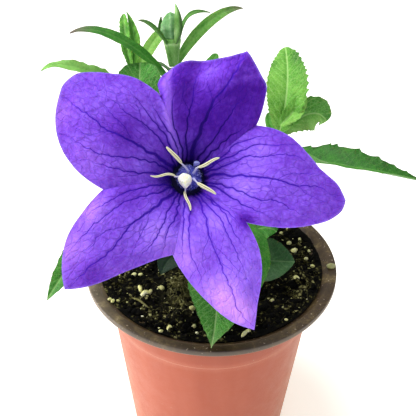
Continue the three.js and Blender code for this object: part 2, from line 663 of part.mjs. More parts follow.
// Stamens: a broad wedge at the foot that closes over the middle like a dome, then a thin
// filament bending outward to a long pollen sack that lies along the petals
const STAMENS = [
  { angle: 107.5, bend: [-1.3, 2.8, 7], start: [-2.3, 3, 8.6], end: [-6.1, 7.6, 10.4], slim: 0.86 },
  { angle: 30, bend: [2.4, 1.6, 6.8], start: [2.1, 1.7, 8.2], end: [8.1, 3.3, 9.6], slim: 0.76 },
  { angle: -51, bend: [1.6, -2.4, 6.7], start: [1.4, -2.5, 8], end: [5.9, -6.4, 9.2], slim: 0.88 },
  {
    angle: -110.5, bend: [-1.5, -3.7, 6.9], start: [-2.2, -4.6, 8.4], end: [-1.8, -10.2, 10.3],
    slim: 0.68,
  },
  { angle: -173, bend: [-3.6, -0.4, 7.2], start: [-4.4, -0.5, 8.9], end: [-11.3, 0.3, 11.4], slim: 0.6 },
];
STAMENS.forEach(({ angle, bend, start, end, slim }, i) => {
  const wedgePath = [
    bloomPoint(angle, 3.1, 0.7),
    bloomPoint(angle, 4.2, 3),
    bloomPoint(angle, 3.6, 5),
    bloomPoint(angle, 2.6, 5.9),
  ];
  const wedge = bladeGeometry(wedgePath, {
    face: bloomPoint(angle, 1, 0),
    width: 3,
    widest: 0.4,
    blunt: 0.5,
    fold: -12,
    thickness: 0.9,
  });
  const filamentPath = new THREE.CatmullRomCurve3([
    bloomPoint(angle, 3.3, 5),
    point(...bend),
    point(...start),
  ]);
  const filament = threadGeometry(filamentPath, [0.34, 0.32, 0.32, 0.3, 0.3], 6);
  const sackPath = new THREE.LineCurve3(point(...start), point(...end));
  const sackRadii = [0.3, 0.6, 0.68, 0.62, 0.5, 0.25].map((radius) => radius * slim);
  const sack = threadGeometry(sackPath, sackRadii, 8);
  const name = `stamen_${i + 1}`;
  addPiece(bloom, name, joined([wedge, filament, sack]), STAMEN);
});

// Pistil: a style through the dome with a club-shaped head leaning down and to the left
const stylePath = new THREE.CatmullRomCurve3([
  point(0, 0, GAP + GAP + 0.05),
  point(0, 0, 4),
  point(-0.6, -0.6, 7),
  point(-1.9, -1.6, 9.6),
]);
const style = threadGeometry(stylePath, [0.6, 0.5, 0.5, 0.5, 0.6, 0.8], 8);
const head = new THREE.SphereGeometry(1, 12, 8);
head.scale(1.9, 2, 1.5);
head.rotateZ(THREE.MathUtils.degToRad(-12));
head.translate(-2.1, -1.8, 10.2);
addPiece(bloom, 'pistil', joined([style, head]), STIGMA);

// Bud, in a group whose +Z is the bud's axis
const budBack = BUD_UP.clone().cross(point(1, 0, 0)).normalize();
const budRight = budBack.clone().cross(BUD_UP);
const budGroup = new THREE.Group();
budGroup.position.copy(BUD_CENTRE).addScaledVector(BUD_UP, GAP);
budGroup.setRotationFromMatrix(new THREE.Matrix4().makeBasis(budRight, budBack, BUD_UP));
plant.add(budGroup);

const budCupProfile = [
  [0, 0],
  [1.35, 0],
  [1.9, 3.5],
  [2.6, 7.2],
  [2.75, BUD_CUP_HEIGHT],
  [0, BUD_CUP_HEIGHT],
];
const BUD_SEPALS = [
  { path: [[-1.6, -1.6, 7.8], [-3.4, -3.4, 10], [-6, -4, 14.6], [-9.5, -4, 14.3]], width: 2.3 },
  { path: [[1.4, -1.8, 7.8], [3.2, -4.1, 11], [2.6, -3.9, 15.2], [1.7, -1.6, 18.6]], width: 3.4 },
  { path: [[1.9, 1.4, 7.8], [3.6, 6, 15], [6, 4.2, 18], [12, 4, 16.2]], width: 2 },
  { path: [[-1.9, 1.4, 7.8], [-4.1, 3.4, 10], [-4.1, 3.4, 12.5], [-3, 3, 15]], width: 2.6 },
  { path: [[0, 2.3, 7.8], [0, 4.6, 10.5], [0.5, 5.5, 14], [1, 8.5, 15]], width: 2.4 },
];
const budSepals = BUD_SEPALS.map(({ path, width }) => {
  const outward = point(path[0][0], path[0][1], 0).multiplyScalar(-1);
  const shape = { face: outward, width, widest: 0.35, blunt: 0.8, fold: 10, thickness: 0.5 };
  return bladeGeometry(path.map((p) => point(...p)), shape);
});
addPiece(budGroup, 'bud_calyx', joined([turned(budCupProfile, 20), ...budSepals]), CALYX);

const budProfile = [
  [0, BUD_CUP_HEIGHT + GAP],
  [2.5, BUD_CUP_HEIGHT + GAP],
  [2.9, 9.8],
  [3.15, 11],
  [3.1, 12.6],
  [2.3, 14.6],
  [1.1, 15.9],
  [0, 16.3],
];
addPiece(budGroup, 'bud', turned(budProfile, 20), BUD);

export default plant;
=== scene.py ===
# %% [markdown]
# A potted balloon flower, finished step by step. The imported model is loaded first. It is the
# fixed frame: every new piece below stands exactly where the plain solid of its name stands, so
# nothing has to be fitted by eye. Shapes are worked out in millimetres and stored in metres.

# %% Load the frame
import functools
import itertools
import math

import bpy
import numpy as np
from mathutils import Matrix


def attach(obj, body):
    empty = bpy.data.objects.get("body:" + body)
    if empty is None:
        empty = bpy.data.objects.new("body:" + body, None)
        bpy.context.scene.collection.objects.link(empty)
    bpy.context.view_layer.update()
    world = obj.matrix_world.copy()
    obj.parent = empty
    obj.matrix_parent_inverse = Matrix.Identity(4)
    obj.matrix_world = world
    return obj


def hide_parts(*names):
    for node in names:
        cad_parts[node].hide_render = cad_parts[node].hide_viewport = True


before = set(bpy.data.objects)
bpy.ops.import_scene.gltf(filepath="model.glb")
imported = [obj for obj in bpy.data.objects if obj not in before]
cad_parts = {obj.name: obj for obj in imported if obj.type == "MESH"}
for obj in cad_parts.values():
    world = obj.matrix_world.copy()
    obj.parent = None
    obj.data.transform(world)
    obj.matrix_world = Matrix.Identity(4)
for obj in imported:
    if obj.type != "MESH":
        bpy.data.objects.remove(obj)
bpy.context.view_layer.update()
MM = 0.001
print("nodes in the frame:", len(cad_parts))

# %% [markdown]
# A few small helpers come first. Colours are picked as sRGB hex codes, as on a paint chart, but
# the shaders work in linear light, so one function turns them. The smooth step and the curve
# through given points shape many outlines and soft changes below.

# %% Colours and curves


def colour(code):
    """Linear colour of an sRGB hex code: v / 12.92 up to 0.04045, else ((v + 0.055) / 1.055) ^ 2.4."""
    value = np.array([int(code[i:i + 2], 16) for i in (1, 3, 5)]) / 255
    linear = np.where(value > 0.04045, ((value + 0.055) / 1.055) ** 2.4, value / 12.92)
    return (*linear.tolist(), 1.0)


def unit(vectors):
    """The same directions with length 1."""
    vectors = np.asarray(vectors, float)
    return vectors / np.linalg.norm(vectors, axis=-1, keepdims=True)


def step(low, high, value):
    """0 up to low, 1 from high on, and 3 t^2 - 2 t^3 between them."""
    t = np.clip((value - low) / (high - low), 0, 1)
    return t * t * (3 - 2 * t)


def through(points, x):
    """Curve through (x, y) points that never overshoots them: a cubic between neighbours whose
    slope at a point is the harmonic mean of the slopes beside it, or 0 where they disagree."""
    xs, ys = np.array(sorted(points), float).T
    gap = np.diff(xs)
    slope = np.diff(ys) / gap
    agree = slope[1:] * slope[:-1] > 0
    total = np.where(agree, slope[1:] + slope[:-1], 1)
    inner = np.where(agree, 2 * slope[1:] * slope[:-1] / total, 0)
    tangent = np.concatenate([slope[:1], inner, slope[-1:]])
    x = np.clip(x, xs[0], xs[-1])
    i = np.clip(np.searchsorted(xs, x, side="right") - 1, 0, len(gap) - 1)
    t = (x - xs[i]) / gap[i]
    start = ys[i] * (1 + 2 * t) * (1 - t) ** 2 + gap[i] * tangent[i] * t * (1 - t) ** 2
    end = ys[i + 1] * t * t * (3 - 2 * t) - gap[i] * tangent[i + 1] * t * t * (1 - t)
    return start + end


def bezier(points, t):
    """Cubic curve of four points: (1-t)^3 a + 3 (1-t)^2 t b + 3 (1-t) t^2 c + t^3 d."""
    a, b, c, d = np.asarray(points, float)
    t = np.asarray(t, float)[:, None]
    return (1 - t) ** 3 * a + 3 * (1 - t) ** 2 * t * b + 3 * (1 - t) * t * t * c + t ** 3 * d


def round_angles(count):
    """Angles once round, evenly spaced, the first at 0."""
    return 2 * np.pi * np.arange(count) / count


def angle_at(points):
    """Angle of each point round Z."""
    return np.arctan2(points[..., 1], points[..., 0])


def spun(points, angle):
    """Points turned about Z: x cos - y sin, x sin + y cos and z."""
    x, y, z = np.moveaxis(points, -1, 0)
    cos, sin = np.cos(angle), np.sin(angle)
    return np.stack([x * cos - y * sin, x * sin + y * cos, z], -1)


def lumps(points, size, seed):
    """Soft random lumps from -1 to 1: random numbers at the corners of cubes of the given size,
    blended inside each cube with a smooth step."""
    table = np.random.default_rng(seed).uniform(-1, 1, 4096)
    place = np.asarray(points, float) / size
    cell = np.floor(place).astype(int)
    part = place - cell
    part = part * part * (3 - 2 * part)
    total = np.zeros(place.shape[:-1])
    for corner in itertools.product((0, 1), repeat=3):
        c = cell + np.array(corner)
        key = (c[..., 0] * 73856093) ^ (c[..., 1] * 19349663) ^ (c[..., 2] * 83492791)
        weight = np.prod(np.where(np.array(corner) == 1, part, 1 - part), axis=-1)
        total += weight * table[key % 4096]
    return total


print("mid violet in linear light:", [round(v, 3) for v in colour("#7d50dc")])

# %% [markdown]
# Nearly every piece of a plant is a closed skin over rings of points: a stem, a leaf blade, a
# bud, a pot. One helper joins the rings and closes both ends, and another makes the rings by
# carrying a section along a path. Marks are numbers kept at each point, such as the distance
# from a vein. The materials read them, so a pattern follows the surface.

# %% Skins and pieces


def sheet_triangles(rows, columns, round_rows=False, round_columns=False):
    """Two triangles for each cell of a sheet of points numbered row by row. A sheet may close on
    itself in either direction."""
    row = np.arange(rows if round_rows else rows - 1)
    column = np.arange(columns if round_columns else columns - 1)
    i, j = (v.ravel() for v in np.meshgrid(row, column, indexing="ij"))
    below, right = (i + 1) % rows, (j + 1) % columns
    a, b = i * columns + j, i * columns + right
    c, d = below * columns + right, below * columns + j
    return np.concatenate([np.stack([a, b, c], -1), np.stack([a, c, d], -1)])


def solid(points, triangles, marks):
    """A closed surface with its triangles turned to face outwards: six times its volume, the sum
    of a . (b x c) over the triangles, is made positive."""
    a, b, c = (points[triangles[:, k]] for k in range(3))
    if np.sum(a * np.cross(b, c)) < 0:
        triangles = triangles[:, ::-1]
    return {"points": points, "triangles": triangles, "marks": marks}


def skin(rings, **marks):
    """Closed surface over rings of points, rings[ring, place]. Each end is closed by a fan to the
    middle of its ring."""
    count, around = rings.shape[:2]
    first, last, centre = 0, (count - 1) * around, count * around
    j = np.arange(around)
    k = (j + 1) % around
    caps = [
        np.stack([first + k, first + j, np.full(around, centre)], -1),
        np.stack([last + j, last + k, np.full(around, centre + 1)], -1),
    ]
    triangles = np.concatenate([sheet_triangles(count, around, round_columns=True), *caps])
    kept = {"": rings, **marks}
    for name, value in kept.items():
        value = np.asarray(value, float)
        if value.ndim < 2:
            value = np.broadcast_to(value, (count, around) + value.shape)
        ends = value[[0, -1]].mean(axis=1)
        kept[name] = np.concatenate([value.reshape((-1,) + value.shape[2:]), ends])
    points = kept.pop("")
    return solid(points, triangles, kept)


def sweep(path, outward, radius, sides=0):
    """Rings round a path, radius[ring, place], or one radius for each ring and a number of sides.
    The quarter turn of each ring points to outward, which is never along the path."""
    if sides:
        radius = np.repeat(np.reshape(radius, (-1, 1)), sides, 1)
    along = unit(np.gradient(path, axis=0))
    side = unit(np.cross(along, outward))
    up = np.cross(side, along)
    angle = round_angles(radius.shape[1])
    around = side[:, None] * np.cos(angle)[None, :, None] + up[:, None] * np.sin(angle)[None, :, None]
    return path[:, None] + radius[..., None] * around


def turned(profile, sides):
    """Rings of a shape turned about Z, from a profile of (radius, height)."""
    profile = np.array(profile, float)
    angle = round_angles(sides)
    x, y = profile[:, :1] * np.cos(angle), profile[:, :1] * np.sin(angle)
    return np.stack([x, y, profile[:, 1:] + 0 * x], -1)


def drawn_out(profile, finest):
    """A profile with extra points on its straight stretches, none longer than finest."""
    profile = np.array(profile, float)
    counts = np.maximum(1, np.ceil(np.linalg.norm(np.diff(profile, axis=0), axis=1) / finest)).astype(int)
    ends = zip(profile[:-1], profile[1:], counts)
    return np.concatenate([*(np.linspace(a, b, n, endpoint=False) for a, b, n in ends), profile[-1:]])


def joined(solids):
    """Several solids as one set of points, triangles and marks."""
    start = np.cumsum([0] + [len(s["points"]) for s in solids[:-1]])
    points = np.concatenate([s["points"] for s in solids])
    triangles = np.concatenate([s["triangles"] + n for s, n in zip(solids, start)])
    marks = {name: np.concatenate([s["marks"][name] for s in solids]) for name in solids[0]["marks"]}
    return {"points": points, "triangles": triangles, "marks": marks}


def new_mesh(name, points, faces):
    """A mesh from points in mm and faces given as the numbers of their points."""
    mesh = bpy.data.meshes.new(name)
    mesh.from_pydata((np.asarray(points) * MM).tolist(), [], np.asarray(faces).tolist())
    return mesh


def new_object(name, data):
    """An object in the scene for a mesh, a camera or a lamp."""
    thing = bpy.data.objects.new(name, data)
    bpy.context.scene.collection.objects.link(thing)
    return thing


SHARP_EDGE = math.radians(65)
triangles_made = {}


def add_piece(name, solids, material, slot, *nodes):
    """A finished piece at the origin that stands for CAD nodes and rides on the plant. Its finish is
    the material given, and the slot is not used."""
    whole = joined(solids)
    mesh = new_mesh(name, whole["points"], whole["triangles"])
    for mark, values in whole["marks"].items():
        kind, field = ("FLOAT_VECTOR", "vector") if values.ndim == 2 else ("FLOAT", "value")
        attribute = mesh.attributes.new(mark, kind, "POINT")
        attribute.data.foreach_set(field, values.astype(np.float32).ravel())
    mesh.shade_smooth()
    mesh.set_sharp_from_angle(angle=SHARP_EDGE)
    mesh.materials.append(material)
    piece = new_object(name, mesh)
    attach(piece, "root")
    if nodes:
        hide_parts(*nodes)
    triangles_made[name] = len(whole["triangles"])
    return piece


# %% [markdown]
# Materials are node graphs. One helper adds any node, sets its properties and fills its inputs,
# each with a number, a hex colour or another node's output. Each finish starts as a Principled
# shader with the numbers that are the same all over. Colours are laid over one another like coats
# of paint, and every finish ends with its colour, its fine relief and, where it varies, its gloss.

# %% Material helpers


def fill(owner, node, inputs):
    """Gives inputs of a node their numbers, hex colours or other nodes' outputs. The owner is the
    material or the world whose graph the node is in."""
    for socket, value in inputs.items():
        if isinstance(value, bpy.types.NodeSocket):
            owner.node_tree.links.new(value, node.inputs[socket])
        else:
            node.inputs[socket].default_value = colour(value) if isinstance(value, str) else value


def add_node(material, kind, inputs=(), stops=(), output=0, **settings):
    """Adds one shader node and gives one of its outputs. inputs are in the order of its sockets or
    by their names or numbers, stops are the places and colours of a colour ramp, and settings are
    the node's own properties."""
    node = material.node_tree.nodes.new("ShaderNode" + kind)
    for name, value in settings.items():
        setattr(node, name, value)
    fill(material, node, inputs if isinstance(inputs, dict) else dict(enumerate(inputs)))
    for number, (place, code) in enumerate(stops):
        if number > 1:
            node.color_ramp.elements.new(place)
        node.color_ramp.elements[number].position = place
        node.color_ramp.elements[number].color = colour(code)
    return node.outputs[output]


def new_material(name, roughness, ior=1.45, inputs=None):
    """A material with only its Principled shader and output, and the helper that adds nodes to it."""
    material = bpy.data.materials.new(name)
    material.use_nodes = True
    shader = material.node_tree.nodes["Principled BSDF"]
    fill(material, shader, {"Roughness": roughness, "IOR": ior, **(inputs or {})})
    return material, functools.partial(add_node, material)


def painted(add, base, coats):
    """Coats over a base. Each is the output that masks it, its colour and factors that thin it."""
    for share, paint, *factors in coats:
        for factor in factors:
            share = add("Math", (share, factor), operation="MULTIPLY")
        base = add("Mix", {0: share, 6: base, 7: paint}, output=2, data_type="RGBA")
    return base


def finish(material, base, relief, strength, depth, roughness=None):
    """Joins a colour, a relief with its strength and depth in metres, and a roughness if it varies,
    to the shader."""
    bump = add_node(material, "Bump", {"Strength": strength, "Distance": depth, "Height": relief})
    inputs = {"Base Color": base, "Normal": bump}
    if roughness is not None:
        inputs["Roughness"] = roughness
    fill(material, material.node_tree.nodes["Principled BSDF"], inputs)


# %% [markdown]
# The photograph looks down on the plant from the front, a hand's length away, so the camera is
# close and the pot narrows strongly below its rim. The camera's place and turn were worked out
# from the ellipse of the rim. Its three directions are the columns of its matrix.

# %% Camera
CAMERA_PLACE = np.array([0, -194.84, 239.07])
CAMERA_RIGHT = (0.99975623, 0.0173466, 0.01365912)
CAMERA_UP = (-0.02117116, 0.57761864, 0.81603216)


def stand(thing, place, right, up, back):
    """Puts a camera or a lamp at a place in metres. It looks along minus back."""
    turn = Matrix([list(direction) for direction in (right, up, back)]).transposed().to_4x4()
    thing.matrix_world = Matrix.Translation(place) @ turn


camera_data = bpy.data.cameras.new("camera")
camera_data.lens = 60
camera_data.sensor_width = 36
camera_data.clip_start = 0.01
camera = new_object("camera", camera_data)
stand(camera, CAMERA_PLACE * MM, CAMERA_RIGHT, CAMERA_UP, np.cross(CAMERA_RIGHT, CAMERA_UP))
bpy.context.scene.camera = camera

# %% [markdown]
# The photograph has plain white all round and only soft shadows: a big soft light from above and
# a little to the left, which leaves the top petal dark and the lower ones bright, a white wall on
# the left and a pale room that fills the rest. A wide pale floor carries the pot. It glows a
# little, like a light table, so that the shadow beside the pot stays faint.

# %% Floor and light
FLOOR_HALF = 3000
FLOOR_GLOW = 0.5
bpy.context.scene.view_settings.view_transform = "Standard"

floor_material, add = new_material("matt white card", 0.85, inputs={
    "Emission Color": "#fffbe8", "Emission Strength": FLOOR_GLOW,
})
floor_grain = add("TexNoise", {"Vector": add("TexCoord", output="Object"), "Scale": 6, "Detail": 3})
floor_tone = add("ValToRGB", (floor_grain,), [(0.3, "#f6f5f3"), (0.7, "#fbfbfa")])
fill(floor_material, floor_material.node_tree.nodes["Principled BSDF"], {"Base Color": floor_tone})
corners = np.array([(-1, -1, 0), (1, -1, 0), (1, 1, 0), (-1, 1, 0)])
floor_mesh = new_mesh("floor", corners * FLOOR_HALF, [(0, 1, 2, 3)])
floor_mesh.materials.append(floor_material)
floor = new_object("floor", floor_mesh)

# Place and size in metres, and power in watts
LIGHTS = {"window_above": ((-0.20, 0.06, 0.85), 0.45, 5.0), "wall_left": ((-0.95, -0.10, 0.24), 0.7, 10.5)}
AIM = np.array([0, 0, 0.09])
for name, (place, size, power) in LIGHTS.items():
    lamp = bpy.data.lights.new(name, "AREA")
    lamp.shape = "DISK"
    lamp.size = size
    lamp.energy = power
    back = unit(np.array(place) - AIM)
    right = unit(np.cross((0.0, 0.3, 1.0), back))
    stand(new_object(name, lamp), place, right, np.cross(back, right), back)

world = bpy.data.worlds.new("white room")
world.use_nodes = True
fill(world, world.node_tree.nodes["Background"], {"Color": "#f8f9fb", "Strength": 0.62})
bpy.context.scene.world = world

# %% [markdown]
# The pot is a thin two-tone nursery pot: brick red plastic outside and dark brown inside, moulded
# as two layers at once. The dark layer also makes the flat rim and its lip. A pot is a turned
# shape, so its profile of radii and heights is spun round. The rim has small rounded edges,
# because it is the first thing that catches the light. The drain holes are cut with a boolean.

# %% Pot shape
POT_HEIGHT = 78
RIM_RADIUS = 45
RIM_DEPTH = 2.3
RIM_INNER_RADIUS = 41.7
BASE_RADIUS = 31
TAPER = 7.08
WALL = 1
FLOOR_THICKNESS = 1.2
LINE_HEIGHT = 61
LINE_STEP = 0.35
SHELF_HEIGHT = 76.5
POT_SIDES = 256
DRAIN_HOLES = 8
DRAIN_RADIUS = 1.8
DRAIN_CIRCLE = 22
FLEX_HEIGHT = 60
MEAN_RADIUS = 40
RIM_UNDERSIDE = POT_HEIGHT - RIM_DEPTH


def body_radius(height):
    """Outside radius of the pot's tapering body at a height."""
    return BASE_RADIUS + height * TAPER / POT_HEIGHT


outside = [
    (0.4, 0), (BASE_RADIUS - 3, 0), (BASE_RADIUS - 0.9, 0), (BASE_RADIUS - 0.25, 0.25),
    (body_radius(0.9), 0.9), (body_radius(LINE_HEIGHT - 0.25), LINE_HEIGHT - 0.25),
    (body_radius(LINE_HEIGHT) + LINE_STEP * 0.4, LINE_HEIGHT),
    (body_radius(LINE_HEIGHT) + LINE_STEP, LINE_HEIGHT + 0.35),
    (body_radius(RIM_UNDERSIDE) + LINE_STEP, RIM_UNDERSIDE - 0.4),
    (body_radius(RIM_UNDERSIDE) + LINE_STEP + 0.3, RIM_UNDERSIDE - 0.05),
]
lip = [
    (RIM_RADIUS - 0.7, RIM_UNDERSIDE), (RIM_RADIUS - 0.2, RIM_UNDERSIDE + 0.2),
    (RIM_RADIUS, RIM_UNDERSIDE + 0.6), (RIM_RADIUS - 0.02, POT_HEIGHT - 0.3),
    (RIM_RADIUS - 0.1, POT_HEIGHT - 0.07), (RIM_RADIUS - 0.35, POT_HEIGHT),
    (RIM_INNER_RADIUS + 0.5, POT_HEIGHT - 0.05), (RIM_INNER_RADIUS - 0.1, POT_HEIGHT - 0.4),
    (RIM_INNER_RADIUS - 1, SHELF_HEIGHT + 0.3), (body_radius(SHELF_HEIGHT) + 0.4, SHELF_HEIGHT + 0.05),
    (body_radius(SHELF_HEIGHT) - 0.4, SHELF_HEIGHT - 0.2),
]
inside = [
    (body_radius(RIM_UNDERSIDE) - WALL, RIM_UNDERSIDE - 0.5),
    (body_radius(FLOOR_THICKNESS + 1) - WALL, FLOOR_THICKNESS + 1),
    (body_radius(FLOOR_THICKNESS) - WALL - 1, FLOOR_THICKNESS), (0.4, FLOOR_THICKNESS),
]
pot_profile = drawn_out(outside + lip + inside, 2.5)
pot_rings = turned(pot_profile, POT_SIDES)
# The long wall of a thin moulded pot is never quite round
pot_angle = angle_at(pot_rings)
oval = 0.12 * np.cos(2 * pot_angle + 0.6) + 0.05 * np.cos(5 * pot_angle)
flex = np.clip(pot_rings[..., 2], 0, FLEX_HEIGHT)
pot_rings[..., :2] *= (1 + oval * flex / FLEX_HEIGHT / MEAN_RADIUS)[..., None]
# The brick layer ends below the lip; from there on, over the rim and down inside, all is dark
first_dark = int(np.argmax(pot_profile[:, 0] > RIM_RADIUS - 0.71))
is_dark = np.arange(len(pot_profile)) >= first_dark
# The rim's outer face is marked for a painted highlight
is_rim_face = is_dark & (pot_profile[:, 0] > RIM_RADIUS - 0.11)
pot_solid = skin(pot_rings, dark=is_dark[:, None] + 0 * pot_angle, wall=is_rim_face[:, None] + 0 * pot_angle)

# %% [markdown]
# Polypropylene, injection moulded: a smooth satin skin with faint flow streaks that run up the
# wall. Potting dust clings to the rim and fades down the outside. The rim's outer face carries a
# painted highlight, the wall under the rim painted shade, and the step of the stacking line a
# painted highlight. The streaks are noise stretched along Z, and the dust is noise cut off sharply.

# %% Pot material
pot_material, add = new_material("moulded polypropylene", 0.42, 1.42, {
    "Sheen Weight": 0.3, "Sheen Roughness": 0.35, "Sheen Tint": "#ffd9b0",
})
spot = add("TexCoord", output="Object")
across, height = (add("SeparateXYZ", (spot,), output=axis) for axis in "XZ")
dark_mark, rim_face_highlight = (add("Attribute", output="Fac", attribute_name=mark) for mark in ("dark", "wall"))
stretched = add("Mapping", {"Vector": spot, "Scale": (1, 1, 0.12)})
streaks = add("TexNoise", {"Vector": stretched, "Scale": 160, "Detail": 4})
brick = add("ValToRGB", (streaks,), [(0.3, "#a64b30"), (0.7, "#ad5237")])
clouds = add("TexNoise", {"Vector": spot, "Scale": 170, "Detail": 8, "Roughness": 0.75})
brown = add("ValToRGB", (clouds,), [(0.3, "#281b0d"), (0.5, "#41311c"), (0.6, "#61502f"), (0.72, "#97855c")])
# The left of the rim is painted paler: partly dried soil, partly painted light from the lamp on the left.
# Its outer face is painted greyer as a painted highlight.
soil_and_light_left = add("MapRange", (across, -0.026, -0.046, 0, 0.7))
dark_layer = painted(add, brown, [(clouds, "#9c937a", soil_and_light_left), (rim_face_highlight, "#6b625b", 0.35)])
# Dust: specks about 0.4 mm across, thickest on the rim and gone 25 mm below it
specks = add("TexNoise", {"Vector": spot, "Scale": 1100, "Detail": 2})
near_rim = add("MapRange", (height, 0.050, 0.0785, 0, 0.10))
dust_level = add("Math", (specks, near_rim), operation="ADD")
dust = add("MapRange", (dust_level, 0.77, 0.83))
# Painted shade darkens the wall towards the rim, under its overhang. The step of the stacking
# line below it carries a painted highlight.
rim_shade_ramp = add("MapRange", (height, 0.061, 0.0755, 0, 0.65))
painted_rim_shade = add("Math", (rim_shade_ramp, dark_mark), operation="SUBTRACT", use_clamp=True)
line_highlight = add("Math", (height, 0.0611, 0.00022), operation="COMPARE")
coats = [(dark_mark, dark_layer), (dust, "#a08f78"), (painted_rim_shade, "#7c2f1e"), (line_highlight, "#dba48e", 0.35)]
relief = add("Math", (clouds, dust), operation="ADD")
gloss = add("MapRange", (clouds, 0.3, 0.7, 0.34, 0.56))
finish(pot_material, painted(add, brick, coats), relief, 0.35, 0.0003, gloss)

pot = add_piece("pot_shell", [pot_solid], pot_material, "pot_plastic", "pot")
drill = turned([(DRAIN_RADIUS, -2), (DRAIN_RADIUS, 4)], 24)
drills = joined([
    skin(drill + np.array([DRAIN_CIRCLE * np.cos(angle), DRAIN_CIRCLE * np.sin(angle), 0]))
    for angle in round_angles(DRAIN_HOLES)
])
drill_object = new_object("drain_drills", new_mesh("drain_drills", drills["points"], drills["triangles"]))
cut = pot.modifiers.new("drain holes", "BOOLEAN")
cut.object = drill_object
cut.operation = "DIFFERENCE"
cut.solver = "EXACT"
bpy.context.view_layer.update()
pot.data = bpy.data.meshes.new_from_object(pot.evaluated_get(bpy.context.evaluated_depsgraph_get()))
pot.modifiers.clear()
bpy.data.objects.remove(drill_object)
print("pot: rings", len(pot_profile), "faces after the drain holes", len(pot.data.polygons))

# %% [markdown]
# Potting mix is crumbs of dark peat with fibres, pale grains of perlite and bits of bark. The
# ground itself is a round sheet lifted and sunk by lumps of three sizes, closed below like the
# solid it stands for. The crumbs, grains and fibres are many small closed shapes scattered over
# it with a seeded random generator, so each run gives the same soil.

# %% Soil shape
SOIL_EDGE_RADIUS = 40
SOIL_EDGE_HEIGHT = 77.3
SOIL_MIDDLE_HEIGHT = 75.3
SOIL_TOP = [(0, SOIL_MIDDLE_HEIGHT), (4.35, SOIL_MIDDLE_HEIGHT), (20, 75.6), (34, 76.4),
            (39.4, SOIL_EDGE_HEIGHT), (45, SOIL_EDGE_HEIGHT)]
STEM_SOCKET = 1.4
MOUND = (-10.2, -14.5)
SOIL_SIDES = 420


def soil_height(x, y):
    """Height of the ground: the dished profile, lumps in cubes of 5.5 mm, and two finer noises n
    folded as 0.5 - |n|, which gives sharp crests with round hollows between them. They calm down
    towards the wall, and one mound is added."""
    place = np.stack([x, y, np.zeros_like(x)], -1)
    base = np.interp(np.hypot(x, y), *np.array(SOIL_TOP).T)
    clods = 1.0 * lumps(place, 5.5, 1)
    clods += 1.1 * (0.5 - np.abs(lumps(place, 2.6, 2)))
    clods += 0.7 * (0.5 - np.abs(lumps(place, 1.3, 3)))
    calm = 1 - 0.6 * step(36, 40, np.hypot(x, y))
    mound = np.exp(-(((x - MOUND[0]) / 4.6) ** 2 + ((y - MOUND[1]) / 7.5) ** 2))
    return base + clods * calm + 2.0 * mound


soil_radius = np.concatenate([np.linspace(STEM_SOCKET, 39.8, 88), [40.1]])
ring, turn_angle = np.meshgrid(soil_radius, round_angles(SOIL_SIDES), indexing="ij")
top = np.stack([ring * np.cos(turn_angle), ring * np.sin(turn_angle), np.zeros_like(ring)], -1)
top[..., 2] = soil_height(top[..., 0], top[..., 1])
below = turned(
    [(SOIL_EDGE_RADIUS, SHELF_HEIGHT + 0.35),
     (body_radius(RIM_UNDERSIDE) - WALL - 0.15, RIM_UNDERSIDE - 0.7),
     (body_radius(2.4) - WALL - 0.3, 2.6), (29, 1.6), (1.0, 1.6)], SOIL_SIDES,
)
soil_rings = np.concatenate([top, below])
from_mound = np.hypot((soil_rings[..., 0] - MOUND[0]) / 4.2, (soil_rings[..., 1] - MOUND[1]) / 7)
ground = skin(
    soil_rings, pale=0.5 * np.exp(-from_mound ** 2), shade=0.45 + 0.6 * lumps(soil_rings, 3.5, 4),
)

# %% [markdown]
# One small function makes every grain: a coarse ball whose points are pushed in and out by lumps,
# then stretched, turned and laid on the ground. Fifty or a hundred faces each are enough.
# Fibres are thin threads that arch over the crumbs, with both ends in the soil.

# %% Crumbs, perlite and fibres
BALL = turned([(np.sin(a), -np.cos(a)) for a in np.linspace(0.25, np.pi - 0.25, 6)], 9)
SMALL_BALL = turned([(np.sin(a), -np.cos(a)) for a in np.linspace(0.4, np.pi - 0.4, 4)], 6)


def grain(x, y, half, turn=0.0, rugged=0.3, seed=0, bed=0.35, ball=BALL, **marks):
    """A lumpy grain of half sizes (mm) at x, y, sunk into the ground by a share of its height."""
    push = 1 + rugged * lumps(ball + seed * 7.3, 0.8, seed)
    rings = spun(ball * push[..., None] * np.array(half), turn)
    lift = soil_height(np.array(x), np.array(y)) + half[2] * (1 - 2 * bed)
    return skin(rings + np.array([x, y, lift]), **marks)


def fibre(x, y, length, heading, arch, radius, **marks):
    """A thread that starts in the ground at x, y, arches over it and ends in it again."""
    t = np.linspace(-0.5, 0.5, 9)
    bend = 0.25 * length * np.sin(2.2 * t + heading) * t
    px = x + length * t * np.cos(heading) - bend * np.sin(heading)
    py = y + length * t * np.sin(heading) + bend * np.cos(heading)
    inside = np.minimum(1, 38.5 / np.hypot(px, py))
    px, py = px * inside, py * inside
    pz = soil_height(px, py) + arch * (1 - 4 * t * t) - 0.1
    path = np.stack([px, py, pz], -1)
    return skin(sweep(path, (0.0, 0.0, 1.0), radius * (1 - 1.2 * t * t), 5), **marks)


def scattered(rng, count, outer):
    """Random places in a ring of soil between the stem and the outer radius."""
    reach = outer * np.sqrt(rng.uniform(0.02, 1, count))
    angle = rng.uniform(0, 2 * np.pi, count)
    return reach * np.cos(angle), reach * np.sin(angle)


